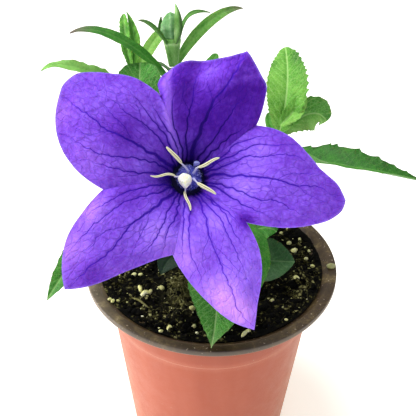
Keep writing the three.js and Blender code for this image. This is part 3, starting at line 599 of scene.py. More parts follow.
CRUMBS, BARK_FLAKES, FIBRES, CLOD_FIBRES = 1300, 60, 300, 320
rng = np.random.default_rng(7)
bits = []
for x, y in zip(*scattered(rng, CRUMBS, 38.8)):
    size = rng.uniform(0.25, 1.25) ** 1.3
    half = (size, size * rng.uniform(0.5, 1), size * rng.uniform(0.5, 0.8))
    bits.append(grain(x, y, half, rng.uniform(0, 6), 0.5, int(rng.integers(99)), ball=SMALL_BALL,
                      pale=0.0, shade=rng.uniform(-1.0, 1.0)))
for x, y in zip(*scattered(rng, BARK_FLAKES, 38)):
    half = (rng.uniform(0.7, 1.7), rng.uniform(0.3, 0.7), rng.uniform(0.2, 0.35))
    bits.append(grain(x, y, half, rng.uniform(0, 6), 0.5, int(rng.integers(99)), 0.2,
                      pale=rng.uniform(0, 0.3), shade=rng.uniform(0, 1)))
for x, y in zip(*scattered(rng, FIBRES, 38)):
    bits.append(fibre(x, y, rng.uniform(1.5, 6), rng.uniform(0, 6), rng.uniform(0.15, 0.8),
                      rng.uniform(0.05, 0.1), pale=rng.uniform(0.05, 0.4), shade=0.3))
# A clod of fibrous peat stands out in front of the stem
for _ in range(CLOD_FIBRES):
    x, y = rng.normal(MOUND[0], 2.2), rng.normal(MOUND[1], 4.0)
    bits.append(fibre(x, y, rng.uniform(1.2, 4), rng.uniform(0, 6), rng.uniform(0.2, 1.1),
                      rng.uniform(0.07, 0.17), pale=rng.uniform(0.2, 1.0), shade=0.6))
# Two dry twigs lie beside it
bits.append(fibre(-24.8, -21.4, 9.5, -0.63, 0.9, 0.42, pale=0.85, shade=0.6))
bits.append(fibre(-23.2, -19, 4.5, 1.2, 0.9, 0.2, pale=0.6, shade=0.6))

# %% [markdown]
# Wet peat is nearly black and quite matt. Its crumbs differ between black, brown and olive, and
# the fibres and bark are tan. The mark called pale says how far a bit leaves the peat's colour.

# %% Soil material
soil_material, add = new_material("damp peat", 0.95, 1.2)
spot = add("TexCoord", output="Object")
pale_mark, shade_mark = (add("Attribute", output="Fac", attribute_name=mark) for mark in ("pale", "shade"))
peat_grain = add("TexNoise", {"Vector": spot, "Scale": 700, "Detail": 8, "Roughness": 0.7})
crumb_colour = add("TexVoronoi", {"Vector": spot, "Scale": 750}, output="Color")
crumb_edge = add("TexVoronoi", {"Vector": spot, "Scale": 750}, feature="DISTANCE_TO_EDGE")
shaded = add("Math", (shade_mark, 0.34, peat_grain), operation="MULTIPLY_ADD")
varied = add("Math", (add("SeparateXYZ", (crumb_colour,)), 0.3, shaded), operation="MULTIPLY_ADD")
peat_level = add("MapRange", (varied, 0.5, 1.12))
crumb_body = add("MapRange", (crumb_edge, 0, 0.14, 0.35))
peat_share = add("Math", (peat_level, crumb_body), operation="MULTIPLY")
peat = add("ValToRGB", (peat_share,), [
    (0.0, "#010100"), (0.4, "#050402"), (0.6, "#1c190a"), (0.76, "#45421f"), (0.95, "#8a8658"),
])
fibre_tone = add("ValToRGB", (peat_grain,), [(0.3, "#3f3d1c"), (0.5, "#7a7644"), (0.7, "#bdb987")])
finish(soil_material, painted(add, peat, [(pale_mark, fibre_tone)]), peat_grain, 0.8, 0.0006)
add_piece("soil_bed", [ground], soil_material, "potting_soil", "soil")
add_piece("soil_litter", bits, soil_material, "potting_soil")

# %% [markdown]
# Perlite is volcanic glass blown up like popcorn: light cream grains with rounded pits. The five
# larger grains have their own solids in the frame. Of the smaller ones two dozen are listed one by
# one, the rest are scattered, and one crumb lies on the rim.

# %% Perlite
perlite_material, add = new_material("expanded perlite", 0.85, 1.5)
spot = add("TexCoord", output="Object")
pits = add("TexVoronoi", {"Vector": spot, "Scale": 1600})
grime = add("TexNoise", {"Vector": spot, "Scale": 420, "Detail": 3})
perlite_tone = add("ValToRGB", (grime,), [(0.3, "#b3ad62"), (0.5, "#dedb93"), (0.7, "#f7f5d6")])
stain_mark = add("Attribute", output="Fac", attribute_name="stain")
finish(perlite_material, painted(add, perlite_tone, [(stain_mark, "#7d7f49")]), pits, 0.6, 0.0003)

LARGE_GRAINS = {
    "perlite_1": (-22.5, -17.5, (1.7, 1.2, 1.0), 0.6),
    "perlite_2": (-13, -34.5, (1.0, 1.4, 0.8), 0.4),
    "perlite_3": (-6, -25.5, (0.9, 1.0, 0.8), 1.3),
    "perlite_4": (11, -37, (0.6, 1.8, 0.6), -0.6),
    "perlite_5": (31, 8, (1.4, 1.1, 0.9), 0.2),
}
for number, (name, (x, y, half, turn)) in enumerate(LARGE_GRAINS.items()):
    stain = 0.5 if name == "perlite_3" else 0.06
    lumps_here = [grain(x, y, half, turn, 0.35, number + 3, 0.05, stain=stain)]
    if name == "perlite_1":
        # The largest grain forks like a popped kernel
        lumps_here.append(grain(x - 1.9, y + 2.3, (0.7, 1.7, 0.9), 0.3, 0.3, 5, 0.0, stain=0.0))
        lumps_here.append(grain(x + 1.6, y + 0.9, (0.6, 1.3, 0.8), -0.35, 0.3, 6, 0.05, stain=0.1))
    add_piece(name + "_grain", lumps_here, perlite_material, "perlite", name)
# x, y, size and how stained with peat
SMALL_GRAINS = [
    (-27.4, -7.3, 1.0, 0.3), (-25.1, -7.2, 0.8, 0.3), (-24.6, -14.1, 0.9, 0.0), (-16.9, -14.9, 1.1, 0.6),
    (-34.1, -21.5, 0.7, 0.3), (-33.0, -22.4, 0.8, 0.2), (-31.3, -21.9, 0.6, 0.3), (-5.2, -32, 0.8, 0.2),
    (-15.7, -35.9, 0.7, 0.2), (26.8, 18.7, 0.8, 0.4), (29.7, 21.4, 0.9, 0.4), (29.4, 13.2, 1.1, 0.4),
    (33.7, 14.5, 0.8, 0.4), (34.9, 3.2, 0.8, 0.5), (36.5, 8.6, 0.7, 0.3), (30.3, -8.1, 1.2, 0.1),
    (23.3, -10.9, 0.7, 0.4), (21.1, -19.2, 0.9, 0.6), (25.1, -29.2, 0.6, 0.0), (37.1, -0.1, 0.9, 0.3),
    (12.4, -34.6, 0.8, 0.0), (-4, -35.5, 0.6, 0.1), (2, -30, 0.6, 0.5), (-20, -27, 0.6, 0.5),
]
crumbs = [
    grain(x, y, (h * 1.1, h * 0.9, h * 0.7), x, 0.22, i, stain=stain)
    for i, (x, y, h, stain) in enumerate(SMALL_GRAINS)
]
for x, y in zip(*scattered(rng, 190, 38.5)):
    size = rng.uniform(0.15, 0.5)
    crumbs.append(grain(x, y, (size, size * 0.8, size * 0.65), rng.uniform(0, 6), 0.5,
                        int(rng.integers(40)), ball=SMALL_BALL, stain=rng.uniform(0.1, 1)))
lump_on_rim = grain(0, 0, (1.6, 1.3, 0.8), 0.4, 0.6, 8, stain=0.8)
lump_on_rim["points"] += np.array([43, -2.5, POT_HEIGHT + 0.55]) - lump_on_rim["points"].mean(axis=0)
add_piece("perlite_crumbs", [*crumbs, lump_on_rim], perlite_material, "perlite")

# %% [markdown]
# Stems are round threads along the same curves as the frame's stems. A real stem isn't a pipe: it
# has faint ribs and swells to a knot where each leaf or side shoot starts, so the radius is a
# function of the place along the stem and of the angle round it.

# %% Stem curves
BUD_CENTRE = np.array([-13, 5.6, 150.2])
SOCKET_FLOOR = 59.7
KNOT_HALF = 1.2
LEAF_FOOT_DEPTH = 0.25
# Four points of the curve, radius and the heights of the knots
STEMS = {
    "main_stem": ([(0, 0, 77), (0, 0, 97), (-10.5, -14.5, 117), (-8.7, -23.5, 126)], 1.35,
                  [79.5, 81.5, 83, 85, 88, 91, 101, 110]),
    "bud_stem": ([(-0.6, 2.6, 91), (-4, 9, 104), (-12, 0.3, 135.2), tuple(BUD_CENTRE)], 1.0,
                 [106, 118, 133, 144, 148.5]),
    "left_shoot_stem": ([(-2.6, 0.6, 85), (-12, 5, 98), (-24, 8.5, 130), (-25.7, 5.7, 150.4)], 0.9,
                        [96, 112, 131, 141, 148.5]),
    "right_shoot_stem": ([(2.7, 0.6, 81), (8, 4, 96), (16, 0, 116), (20.2, -5.2, 134.6)], 1.0,
                         [104, 125.5, 131.5, 134]),
}


def beside_stem(name, height, side):
    """Place on the skin of a stem at a height, towards a side, where the foot of a leaf grows."""
    points, radius, _ = STEMS[name]
    curve = bezier(points, np.linspace(0, 1, 401))
    nearest = int(np.argmin(np.abs(curve[:, 2] - height)))
    along = unit(np.gradient(curve, axis=0)[nearest])
    outward = np.array(side, float)
    outward = unit(outward - along * (outward @ along))
    return curve[nearest] + outward * (radius - LEAF_FOOT_DEPTH)


# %% [markdown]
# A balloon flower's stem is smooth, pale green and a little glossy, with darker green streaks
# along it and a trace of purple towards the foot. The streaks are noise stretched along Z.

# %% Stem material and pieces
stem_material, add = new_material("green stem skin", 0.5, 1.4, {
    "Subsurface Weight": 0.08, "Subsurface Scale": 0.001,
})
spot = add("TexCoord", output="Object")
stretched = add("Mapping", {"Vector": spot, "Scale": (1, 1, 0.15)})
streaks = add("TexNoise", {"Vector": stretched, "Scale": 1500, "Detail": 3})
stem_tone = add("ValToRGB", (streaks,), [(0.3, "#5e8f45"), (0.55, "#83b062"), (0.75, "#a6c985")])
height = add("SeparateXYZ", (spot,), output="Z")
foot_mark = add("MapRange", (height, 0.098, 0.074, 0, 0.6))
finish(stem_material, painted(add, stem_tone, [(foot_mark, "#6d4a4c")]), streaks, 0.4, 0.0002)

for name, (points, radius, knots) in STEMS.items():
    path = bezier(points, np.linspace(0, 1, 150))
    if name == "main_stem":
        foot = np.linspace(SOCKET_FLOOR + 0.3, 76.8, 14)
        path = np.concatenate([np.stack([foot * 0, foot * 0, foot], -1), path])
    swell = sum(np.exp(-((path[:, 2] - knot) / KNOT_HALF) ** 2) for knot in knots)
    ribs = 0.04 * np.cos(5 * round_angles(20))
    radii = radius * (1 + 0.16 * np.minimum(swell, 1.2)[:, None] + ribs[None, :])
    add_piece(name + "_skin", [skin(sweep(path, (1.0, 0.2, 0.0), radii))], stem_material, "stem", name)

# %% [markdown]
# A leaf is a sheet carried along its midrib, a cubic curve of four points. Its half width grows as
# width / 2 * sin(pi * t ^ a) ^ blunt, where a puts the widest place where it belongs. On top of
# that come the things that make a leaf look alive: halves folded up along the midrib, saw teeth
# that lean to the tip, a waving margin, and a skin quilted between the side veins.

# %% Leaf blades


def sheet_normals(points, facing, round_columns=False):
    """Unit normals of a sheet, the cross product of its two directions, turned towards facing."""
    wide = np.concatenate([points[:, -1:], points, points[:, :1]], axis=1) if round_columns else points
    across = np.gradient(wide, axis=1)
    if round_columns:
        across = across[:, 1:-1]
    normal = unit(np.cross(np.gradient(points, axis=0), across))
    return normal if np.sum(normal * facing) > 0 else -normal


def travelled(path):
    """Distance from the start at each point of a path."""
    return np.concatenate([[0], np.cumsum(np.linalg.norm(np.diff(path, axis=0), axis=1))])


VEIN_SPACING = 2.6
VEIN_LEAN = 1.1
ROW_STEP = 0.33
COLUMN_STEP = 0.36


def leaf_blade(points, face, width, widest, blunt, fold, seed=1, teeth=(2.6, 0.35), wave=0.5,
               quilt=0.2, tint=0.5, side_tint=0.0, brown=0.0, veins=0.7, keel=0.4, dents=(),
               patches=()):
    """One closed leaf. teeth are their spacing and their depth on the left and the right (or on
    both), wave is the height of the margin's waves, quilt the height of the skin between veins and
    keel the midrib's depth below, all in mm. Each dent is a side, a place along, a length and a
    share by which that half narrows. tint, side_tint, brown and veins only go to the marks that
    the finish reads. Each patch is a place across and along as shares, a spread in mm and a change
    of tint."""
    length = travelled(bezier(points, np.linspace(0, 1, 200)))[-1]
    t = np.linspace(0, 1, int(length / ROW_STEP) + 3)
    path = bezier(points, t)
    along = travelled(path)[:, None]
    direction = unit(np.gradient(path, axis=0))
    right = unit(np.cross(direction, unit(face)))
    up = np.cross(right, direction)
    t = t[:, None]
    half = width / 2 * np.sin(np.pi * t ** (np.log(0.5) / np.log(widest))) ** blunt
    half = np.maximum(np.nan_to_num(half), 0.5 * (1 - t) + 0.12)
    s = np.linspace(-1, 1, int(max(width, 2.4) / COLUMN_STEP) // 2 * 2 + 5)[None, :]
    side, away = np.sign(s), np.abs(s)
    grown = step(0.06, 0.2, t) * (1 - step(0.94, 1, t)) * np.minimum(1, half / 3)
    strip = np.stack([along / 4 + 0 * s, side + 0 * along, seed + 0 * along * s], -1)
    phase = (along / teeth[0] + 0.43 * (s > 0) + 0.55 * lumps(strip, 1.0, 5)) % 1
    saw = np.where(phase < 0.82, (phase / 0.82) ** 2.2, (1 - phase) / 0.18)
    depth = np.where(s > 0, teeth[-1], teeth[1]) * (0.85 + 0.6 * lumps(strip, 0.6, 6))
    reach_out = half + 0 * s
    for dent_side, place, extent, share in dents:
        narrowed = share * np.exp(-((t - place) / extent) ** 2)
        reach_out = reach_out * (1 - narrowed * (side == dent_side))
    swing = reach_out * s * np.cos(np.radians(fold) * np.sqrt(away))
    across = swing + side * (away ** 6 * depth * grown * (saw - 0.4))
    rise = half * (np.sqrt(s * s + 0.006) - 0.077) * np.sin(np.radians(fold))
    flat = np.stack([across, along + 0 * s, seed * 13.7 + 0 * across], -1)
    vein = (along - VEIN_LEAN * np.abs(swing)) / VEIN_SPACING
    rise += quilt * grown * np.abs(np.sin(np.pi * vein)) * step(0.04, 0.25, away) * (1 - step(0.7, 1, away))
    rise -= 0.22 * np.exp(-(across / 0.55) ** 2) * np.minimum(1, half / 3)
    rise += wave * grown * s * s * np.sin(2 * np.pi * along / 8.5 + 1.9 * side + seed)
    rise += 0.35 * wave * grown * s ** 4 * np.sin(2 * np.pi * along / 3.4 + 2.3 * side + seed)
    rise += 0.35 * grown * lumps(flat, 6.0, seed)
    front = path[:, None] + right[:, None] * across[..., None] + up[:, None] * rise[..., None]
    thickness = 0.1 + 0.16 * (1 - s * s) + keel * (1 - 0.7 * t) * np.exp(-(across / 0.5) ** 2)
    back = front - sheet_normals(front, up[:, None]) * thickness[..., None]
    tone = tint + side_tint * np.tanh(3 * s) + 0 * along
    for patch_across, patch_along, spread, change in patches:
        off = (swing - patch_across * width / 2) ** 2 + (along - patch_along * length) ** 2
        tone = tone + change * np.exp(-off / spread ** 2)
    marks = {
        "blade": np.stack([swing, along + 0 * s, s + 0 * along], -1), "tint": tone,
        "brown": brown * step(0.72, 1.0, t) + 0 * s,
    }
    both = {name: np.concatenate([value, value[:, ::-1]], axis=1) for name, value in marks.items()}
    both["under"] = np.concatenate([0 * tone, 0 * tone + 1], axis=1)
    return skin(np.concatenate([front, back[:, ::-1]], axis=1), veins=veins, **both)


# %% [markdown]
# The plant's leaves differ by age. Old ones low down are dark and glossy, grown ones mid green, and
# the newest pale yellow green. The finish for leaves in the shade is a darker copy: partly their own
# darker green and partly painted shade. All share one graph. It reads the place on the blade, in mm
# from the midrib and along it, and draws the midrib, side veins that leave it at a slant, and a fine net.
# Drawing veins in the shader keeps them thin and crisp. The underside is paler and greyer.

# %% Leaf material


def leaf_material(name, tones, vein, underside, roughness, net_strength=0.3):
    """A leaf finish from four tones, dark to pale, the veins' colour and the underside's."""
    material, add = new_material(name, roughness, 1.36, {
        "Subsurface Weight": 0.06, "Subsurface Scale": 0.0008, "Specular IOR Level": 0.35,
    })
    place = add("Attribute", output="Vector", attribute_name="blade")
    tint, brown, under, veins = (
        add("Attribute", output="Fac", attribute_name=mark) for mark in ("tint", "brown", "under", "veins")
    )
    across, along, margin_share = (add("SeparateXYZ", (place,), output=axis) for axis in "XYZ")
    clouds = add("TexNoise", {"Vector": place, "Scale": 0.3, "Detail": 5})
    mottle = add("TexNoise", {"Vector": place, "Scale": 1.3, "Detail": 6, "Roughness": 0.7})
    fine = add("TexNoise", {"Vector": place, "Scale": 5.0, "Detail": 3})
    from_midrib = add("Math", (across,), operation="ABSOLUTE")
    midrib = add("MapRange", (from_midrib, 0.34, 0.14), interpolation_type="SMOOTHSTEP")
    slant = add("Math", (from_midrib, -VEIN_LEAN, along), operation="MULTIPLY_ADD")
    order = add("Math", (slant, 1 / VEIN_SPACING), operation="MULTIPLY")
    wavering = add("Math", (clouds, 1.6, order), operation="MULTIPLY_ADD")
    nearest = add("Math", (wavering, 0.5), operation="PINGPONG")
    side_vein = add("MapRange", (nearest, 0.06, 0.015), interpolation_type="SMOOTHSTEP")
    margin = add("MapRange", (add("Math", (margin_share,), operation="ABSOLUTE"), 0.9, 1.0))
    cells = add("TexVoronoi", {"Vector": place, "Scale": 1.3}, feature="DISTANCE_TO_EDGE")
    net = add("MapRange", (cells, 0.11, 0.03))
    cloud_part = add("Math", (clouds, 0.5, tint), operation="MULTIPLY_ADD")
    level = add("Math", (mottle, 0.8, cloud_part), operation="MULTIPLY_ADD")
    shifted = add("Math", (level, 0.64), operation="SUBTRACT")
    base = painted(add, add("ValToRGB", (shifted,), list(zip((0.0, 0.35, 0.65, 1.0), tones))), [
        (margin, tones[0], 0.4), (net, vein, net_strength, veins), (side_vein, vein, 0.45, veins),
        (midrib, vein, 0.9, veins), (under, underside, 0.75), (brown, "#6a4c54", 0.9),
    ])
    relief = add("Math", (net, -0.5, fine), operation="MULTIPLY_ADD")
    gloss = add("MapRange", (clouds, 0.3, 0.7, roughness - 0.07, roughness + 0.1))
    finish(material, base, relief, 0.55, 0.00015, gloss)
    return material


LEAF_FINISHES = {
    "leaf": leaf_material(
        "grown leaf", ("#174a0c", "#2d741b", "#4a922d", "#82ba58"), "#a6d07e", "#6c9a58", 0.45),
    "young_leaf": leaf_material(
        "young leaf", ("#35751a", "#569a2c", "#76b744", "#a6da72"), "#b6e288", "#84b45f", 0.48),
    # A darker copy of the leaf finish, partly painted shade for leaves that lie in the shade of others
    "shaded_leaf": leaf_material(
        "old leaf in the shade", ("#0c2410", "#173c17", "#284f25", "#43693a"), "#6d8f5c", "#4a6842",
        0.36, 0.2),
}

# %% [markdown]
# The table gives each leaf the stem that carries it, its height there, the side it leaves by, the
# two points that bend its midrib, its tip, the way its upper face looks, its width, how far along
# it is widest, how blunt it is and how far its halves fold up: the same numbers as the frame's
# leaves. Its age and its looks come last: teeth, waves, tone and brown tips.

# %% Leaves
LEAVES = {
    "leaf_left_long": (
        "bud_stem", 144.5, (-1, -0.6, 0.3), (-18, 3.5, 154), (-33, 2.5, 167), (-43.5, 2.5, 162),
        (0, -0.35, 1), 4.3, 0.5, 0.7, 8, "leaf",
        dict(teeth=(4, 0.1), wave=0.12, tint=0.36, brown=0.9, quilt=0.03, veins=0.1)),
    "leaf_left_far": (
        "left_shoot_stem", 141, (-1, -0.2, 0.3), (-35.5, 1, 150.3), (-47, 1, 155.5), (-53, 0.5, 150.7),
        (0, -0.35, 1), 5.2, 0.36, 0.8, 14, "leaf",
        dict(teeth=(5, 0.5), wave=0.35, tint=0.92, quilt=0.06, veins=0.1)),
    "leaf_left_broad": (
        "left_shoot_stem", 131, (0.2, -1, 0.2), (-22.5, -7.5, 145.5), (-23, -2.5, 150.5), (-23, 2.5, 153),
        (-0.1, -0.9, 0.4), 14, 0.6, 0.45, 8, "leaf",
        dict(teeth=(2.2, 0.35), wave=0.2, tint=0.35, quilt=0.15, veins=0.45)),
    # In both shoot leaves the dark patches along the midrib are painted shade in the cleft between the
    # folded halves
    "shoot_leaf_front": (
        "left_shoot_stem", 149, (-0.3, -1, 0.2), (-27, 3.6, 155.5), (-28, 9, 160.5), (-28.7, 14, 164),
        (-0.3, -1, 0.4), 3.6, 0.56, 0.45, 15, "young_leaf",
        dict(teeth=(1.3, 0.5), wave=0.5, tint=0.25, side_tint=0.1, quilt=0.45, veins=0.3,
             patches=((0, 0.7, 1.1, -0.6), (0.1, 0.45, 0.9, -0.5), (-0.6, 0.85, 1, 0.3)))),
    "shoot_leaf_back": (
        "left_shoot_stem", 149.3, (0.3, 1, 0.2), (-25, 11.5, 154), (-25.5, 16, 158.5), (-28.2, 18, 163.2),
        (0.4, -1, 0.4), 3.6, 0.42, 0.9, 15, "young_leaf",
        dict(teeth=(1.5, 0.45), wave=0.5, tint=0.05, side_tint=0.5, quilt=0.4, veins=0.1,
             patches=((-0.1, 0.6, 1, -0.5), (0, 0.8, 0.8, -0.5)))),
    "leaf_strap": (
        "left_shoot_stem", 147.5, (1, 0.6, 0), (-22.5, 12.5, 151.5), (-20, 18.5, 154.5), (-15.5, 24, 157),
        (0.2, -0.8, 0.5), 4, 0.5, 0.35, 10, "young_leaf",
        dict(teeth=(3, 0.15), wave=0.2, tint=0.8, quilt=0.08, veins=0.3)),
    "leaf_beside_bud": (
        "bud_stem", 148.3, (0.15, 1, 0), (-12, 12, 153), (-0.5, 21, 165), (8.5, 22.5, 163.5),
        (0.3, -0.7, 0.5), 3.6, 0.52, 0.75, 8, "leaf",
        dict(teeth=(4, 0.1), wave=0.12, tint=0.78, brown=0.8, quilt=0.03, veins=0.15)),
    "bract_left": (
        "bud_stem", 149, (-1, 0.2, 0.1), (-16.5, 8, 151), (-18.5, 9, 150.5), (-21, 9.5, 149.5),
        (0, -0.4, 1), 1.2, 0.5, 0.3, 0, "shaded_leaf",
        {}),
    "bract_back": (
        "bud_stem", 143.5, (0.5, 1, 0), (-10, 9, 149.5), (-9.5, 11.5, 149.5), (-8, 11, 147.5),
        (0, -0.7, 0.7), 2.4, 0.5, 0.6, 10, "shaded_leaf",
        {}),
    "leaf_behind_top": (
        "bud_stem", 133, (1, 0.5, 0.2), (-5, 3, 143.5), (-2, 9, 149.5), (0.5, 13, 152), (0, -0.7, 0.8), 4.4,
        0.65, 0.55, 12, "leaf",
        dict(tint=0.6, teeth=(3, 0.2), quilt=0.06, veins=0.1)),
    "leaf_right_tall": (
        "right_shoot_stem", 134, (0.2, -1, 0.3), (21.5, -7.5, 144), (23, 1, 150.5), (22, 14.5, 154),
        (-0.1, -0.95, 0.3), 12.8, 0.54, 0.62, 12, "young_leaf",
        dict(teeth=(1.8, 0.45, 0.95), wave=0.3, tint=0.4, side_tint=-0.12, quilt=0.15, veins=0.65,
             patches=((0.55, 0.82, 2.6, -0.45), (-0.2, 0.5, 3, 0.1), (0.5, 0.45, 2.5, 0.28),
             (-0.7, 0.75, 1.5, -0.25), (-0.7, 0.3, 2, -0.15)))),
    "leaf_right_round": (
        "right_shoot_stem", 132, (1, 0.5, 0.3), (25.5, -2.5, 138.5), (32, 1.5, 140.5), (36, 3, 134),
        (0, -1, 0.45), 11, 0.62, 0.55, 12, "leaf",
        dict(teeth=(1.9, 0.5), wave=0.5, tint=0.72, side_tint=0.2, quilt=0.15, veins=0.6,
             dents=((1, 0.8, 0.08, 0.6),), patches=((0.75, 0.3, 2, 0.4), (0.6, 0.6, 1.5, 0.25),
             (-0.4, 0.6, 3, -0.15)))),
    "leaf_right_long": (
        "right_shoot_stem", 125.5, (1, -0.3, 0.2), (26, -17, 131.5), (45.5, -23, 133.5), (62, -22.5, 128.5),
        (0, 0, 1), 13.4, 0.46, 1.1, 28, "leaf",
        dict(teeth=(5.3, 1.9, 0.4), wave=0.15, tint=0.36, side_tint=0.16, quilt=0.05, veins=0.2,
             dents=((1, 0.28, 0.16, 0.85), (-1, 0.25, 0.1, 0.3)))),
    "leaf_right_inner": (
        "right_shoot_stem", 131, (-1, 0.3, 0.2), (18, -0.5, 134.5), (17, 1, 135.5), (17.5, 2.5, 137),
        (0, -1, 0.3), 3, 0.5, 0.5, 8, "leaf",
        dict(tint=0.6, teeth=(2, 0.1), quilt=0.05, wave=0.1, veins=0.1)),
    "leaf_front_low": (
        "main_stem", 83, (0.2, -1, 0.1), (3.5, -32.5, 94.5), (2, -41, 87.5), (0.5, -45.5, 80.5),
        (0, -0.1, 1), 21, 0.4, 1.4, 10, "leaf",
        dict(teeth=(2.2, 0.35), wave=0.2, tint=0.46, brown=0.25, quilt=0.15, veins=0.65,
             dents=((1, 0.6, 0.25, 0.2),))),
    "leaf_front_right": (
        "main_stem", 101, (1, -0.8, 0.3), (16.5, -22, 116), (17.2, -30.5, 102.5), (14.2, -34.8, 94.5),
        (0.6, -0.5, 0.6), 7.4, 0.5, 0.7, 15, "leaf",
        dict(teeth=(2.6, 0.2), wave=0.2, tint=0.4, quilt=0.1, veins=0.2)),
    "leaf_low_right": (
        "main_stem", 79.5, (1, -1, 0), (13.5, -10, 86.5), (22, -10.5, 87), (28.5, -11.5, 87.5),
        (0.1, -0.55, 0.8), 16, 0.55, 0.8, 10, "shaded_leaf",
        dict(teeth=(2.4, 0.12), wave=0.2, tint=0.55, side_tint=0.15, quilt=0.06, veins=0.25)),
    "leaf_mid_right": (
        "main_stem", 88, (1, -0.6, 0), (14.5, -8.5, 99), (18.5, -9, 101.5), (21.5, -10.5, 99.5),
        (0, -0.5, 0.8), 9, 0.65, 0.55, 10, "leaf",
        dict(teeth=(2.8, 0.3), wave=0.3, tint=0.2, veins=0.2)),
    "leaf_low_left": (
        "main_stem", 81.5, (-1, -0.4, 0), (-7.5, -12, 93), (-14.5, -14.5, 94), (-16.5, -20, 88),
        (0, -0.4, 0.9), 9.5, 0.55, 0.7, 10, "shaded_leaf",
        dict(teeth=(2.4, 0.15), wave=0.2, tint=-0.2, quilt=0.06, veins=0.04)),
    "leaf_left_low": (
        "main_stem", 110, (-1, -0.2, 0.2), (-20.5, -32.5, 128), (-36, -38, 120), (-48, -45, 98.5),
        (0, -0.6, 0.8), 9, 0.68, 0.9, 12, "leaf",
        dict(teeth=(3.2, 0.3), wave=0.2, tint=0.32, quilt=0.1, veins=0.35)),
    "leaf_back_left": (
        "bud_stem", 106, (-0.4, 1, 0), (-12, 22, 116), (-18, 34, 114), (-22, 40, 103), (0, 0.3, 1), 13, 0.5,
        0.8, 14, "leaf",
        {}),
    "leaf_back_right": (
        "bud_stem", 118, (0.6, 1, 0), (1, 18, 122), (6, 27, 124), (10, 32, 116), (0, 0.3, 1), 11, 0.5, 0.8,
        14, "leaf",
        {}),
    "leaf_back_far_left": (
        "left_shoot_stem", 112, (-0.6, 1, 0), (-30, 18, 120), (-38, 24, 120), (-42, 26, 112),
        (-0.3, 0.3, 1), 11, 0.5, 0.8, 14, "leaf",
        {}),
    "leaf_back_far_right": (
        "right_shoot_stem", 104, (0.3, 1, 0), (18, 16, 112), (30, 22, 112), (36, 24, 103), (0.2, 0.3, 1),
        12, 0.5, 0.8, 14, "leaf",
        {}),
    "leaf_back_low": (
        "main_stem", 87, (0.8, 1, 0), (6, 16, 98), (12, 28, 98), (16, 38, 86), (0, 0.3, 1), 13, 0.5, 0.8,
        14, "shaded_leaf",
        {}),
    "leaf_side_low": (
        "left_shoot_stem", 96, (-1, 0.4, 0), (-24, 10, 104), (-34, 12, 100), (-40, 14, 88), (-0.3, 0.2, 1),
        11, 0.5, 0.8, 14, "shaded_leaf",
        {}),
}
# A flap of the tall leaf's margin is folded over
FLAP = [(20.2, -6.5, 137.1), (21.4, -8.1, 140.3), (24.9, -6.5, 142.5), (27.2, -1.8, 145)]
for number, (name, shape) in enumerate(LEAVES.items()):
    stem, height, side, *bends, face, width, widest, blunt, fold, slot, looks = shape
    points = [beside_stem(stem, height, side), *bends]
    blades = [leaf_blade(points, face, width, widest, blunt, fold, number + 1, **looks)]
    if name == "leaf_right_tall":
        blades.append(leaf_blade(FLAP, face, 5.6, 0.62, 0.4, 12, teeth=(1.9, 0.3), tint=0.55,
                                 side_tint=0.15, veins=0.35))
    add_piece(name + "_blade", blades, LEAF_FINISHES[slot], slot, name)
print("leaf triangles:", sum(n for name, n in triangles_made.items() if name.endswith("_blade")))

# %% [markdown]
# The bloom is a wide bell of five petals grown together. It has its own frame: the axis that the
# bell opens along, a right and an up. In it each point is an angle, a radius and a height. The
# outline of each petal is drawn as radii at a few angles, with a curve through them.

# %% Bloom frame and petal outlines
BLOOM_CENTRE = np.array([-7.2, -30.4, 132.4])
BLOOM_TILT = math.radians(43)
BLOOM_TURN = math.radians(12)
FOOT_RADIUS = 4.4
bloom_axis = np.array([math.sin(BLOOM_TURN) * math.cos(BLOOM_TILT),
                       -math.cos(BLOOM_TURN) * math.cos(BLOOM_TILT), math.sin(BLOOM_TILT)])
bloom_right = unit(np.cross((0.0, 0.0, 1.0), bloom_axis))
bloom_up = np.cross(bloom_axis, bloom_right)


def in_bloom(places):
    """Places given as right, up and height in the bloom, as places in the plant."""
    places = np.asarray(places, float)
    return BLOOM_CENTRE + places @ np.stack([bloom_right, bloom_up, bloom_axis])


def bloom_point(angle, radius, height):
    """The place at an angle in degrees, a radius and a height in the bloom."""
    a = np.radians(angle)
    return in_bloom(np.stack([radius * np.cos(a), radius * np.sin(a), height + 0 * a], -1))


# Each petal: the angle of its tip, how far the tip lifts, and radii along its two margins
PETALS = {
    "top": (60, 6, [(107.5, 21.8), (107, 24.2), (104.5, 25.6), (99, 27), (87, 29), (77, 29.3),
                    (67.5, 30.9), (60, 33.4)],
            [(60, 33.4), (48, 30.4), (44, 29.9), (38, 26.6), (30, 21.5)]),
    "right": (-17, -4, [(30, 21.5), (25, 23.5), (15, 27.4), (-4, 33.7), (-12, 39.6), (-17, 41.8)],
              [(-17, 41.8), (-20, 41.6), (-25, 39.4), (-32.5, 33.6), (-44, 24.4), (-51, 19.6)]),
    "low": (-77, -1, [(-51, 19.6), (-58, 27), (-67.5, 34.7), (-72.5, 38.7), (-77, 44.1)],
            [(-77, 44.1), (-83.5, 40.5), (-92, 34.2), (-104, 26.7), (-110.5, 23)]),
    "left_low": (-142.5, 1, [(-110.5, 23), (-118, 25.2), (-129, 31.4), (-139, 41.9), (-142.5, 45)],
                 [(-142.5, 45), (-146.5, 43.2), (-156, 37.6), (-165, 30), (-173, 24.2)]),
    "left": (-216, -5, [(-173, 24.2), (-186.5, 31.1), (-197, 35.5), (-207, 38.4), (-216, 40.1)],
             [(-216, 40.1), (-219, 40.6), (-224, 40.2), (-235.5, 33.6), (-243, 29.1), (-252.5, 21.8)]),
}

# %% [markdown]
# Dark veins are the petals' strongest pattern. Each runs from the throat as a list of (radius,
# angle) with a curve through it, and some leave another vein as branches. For every point of the
# surface one number is kept: its distance from the nearest vein divided by that vein's width,
# with a sign that flips at each vein. Such a number passes straight through 0 on the vein, so it
# stays exact between mesh points, and the shader can draw a line finer than the mesh.

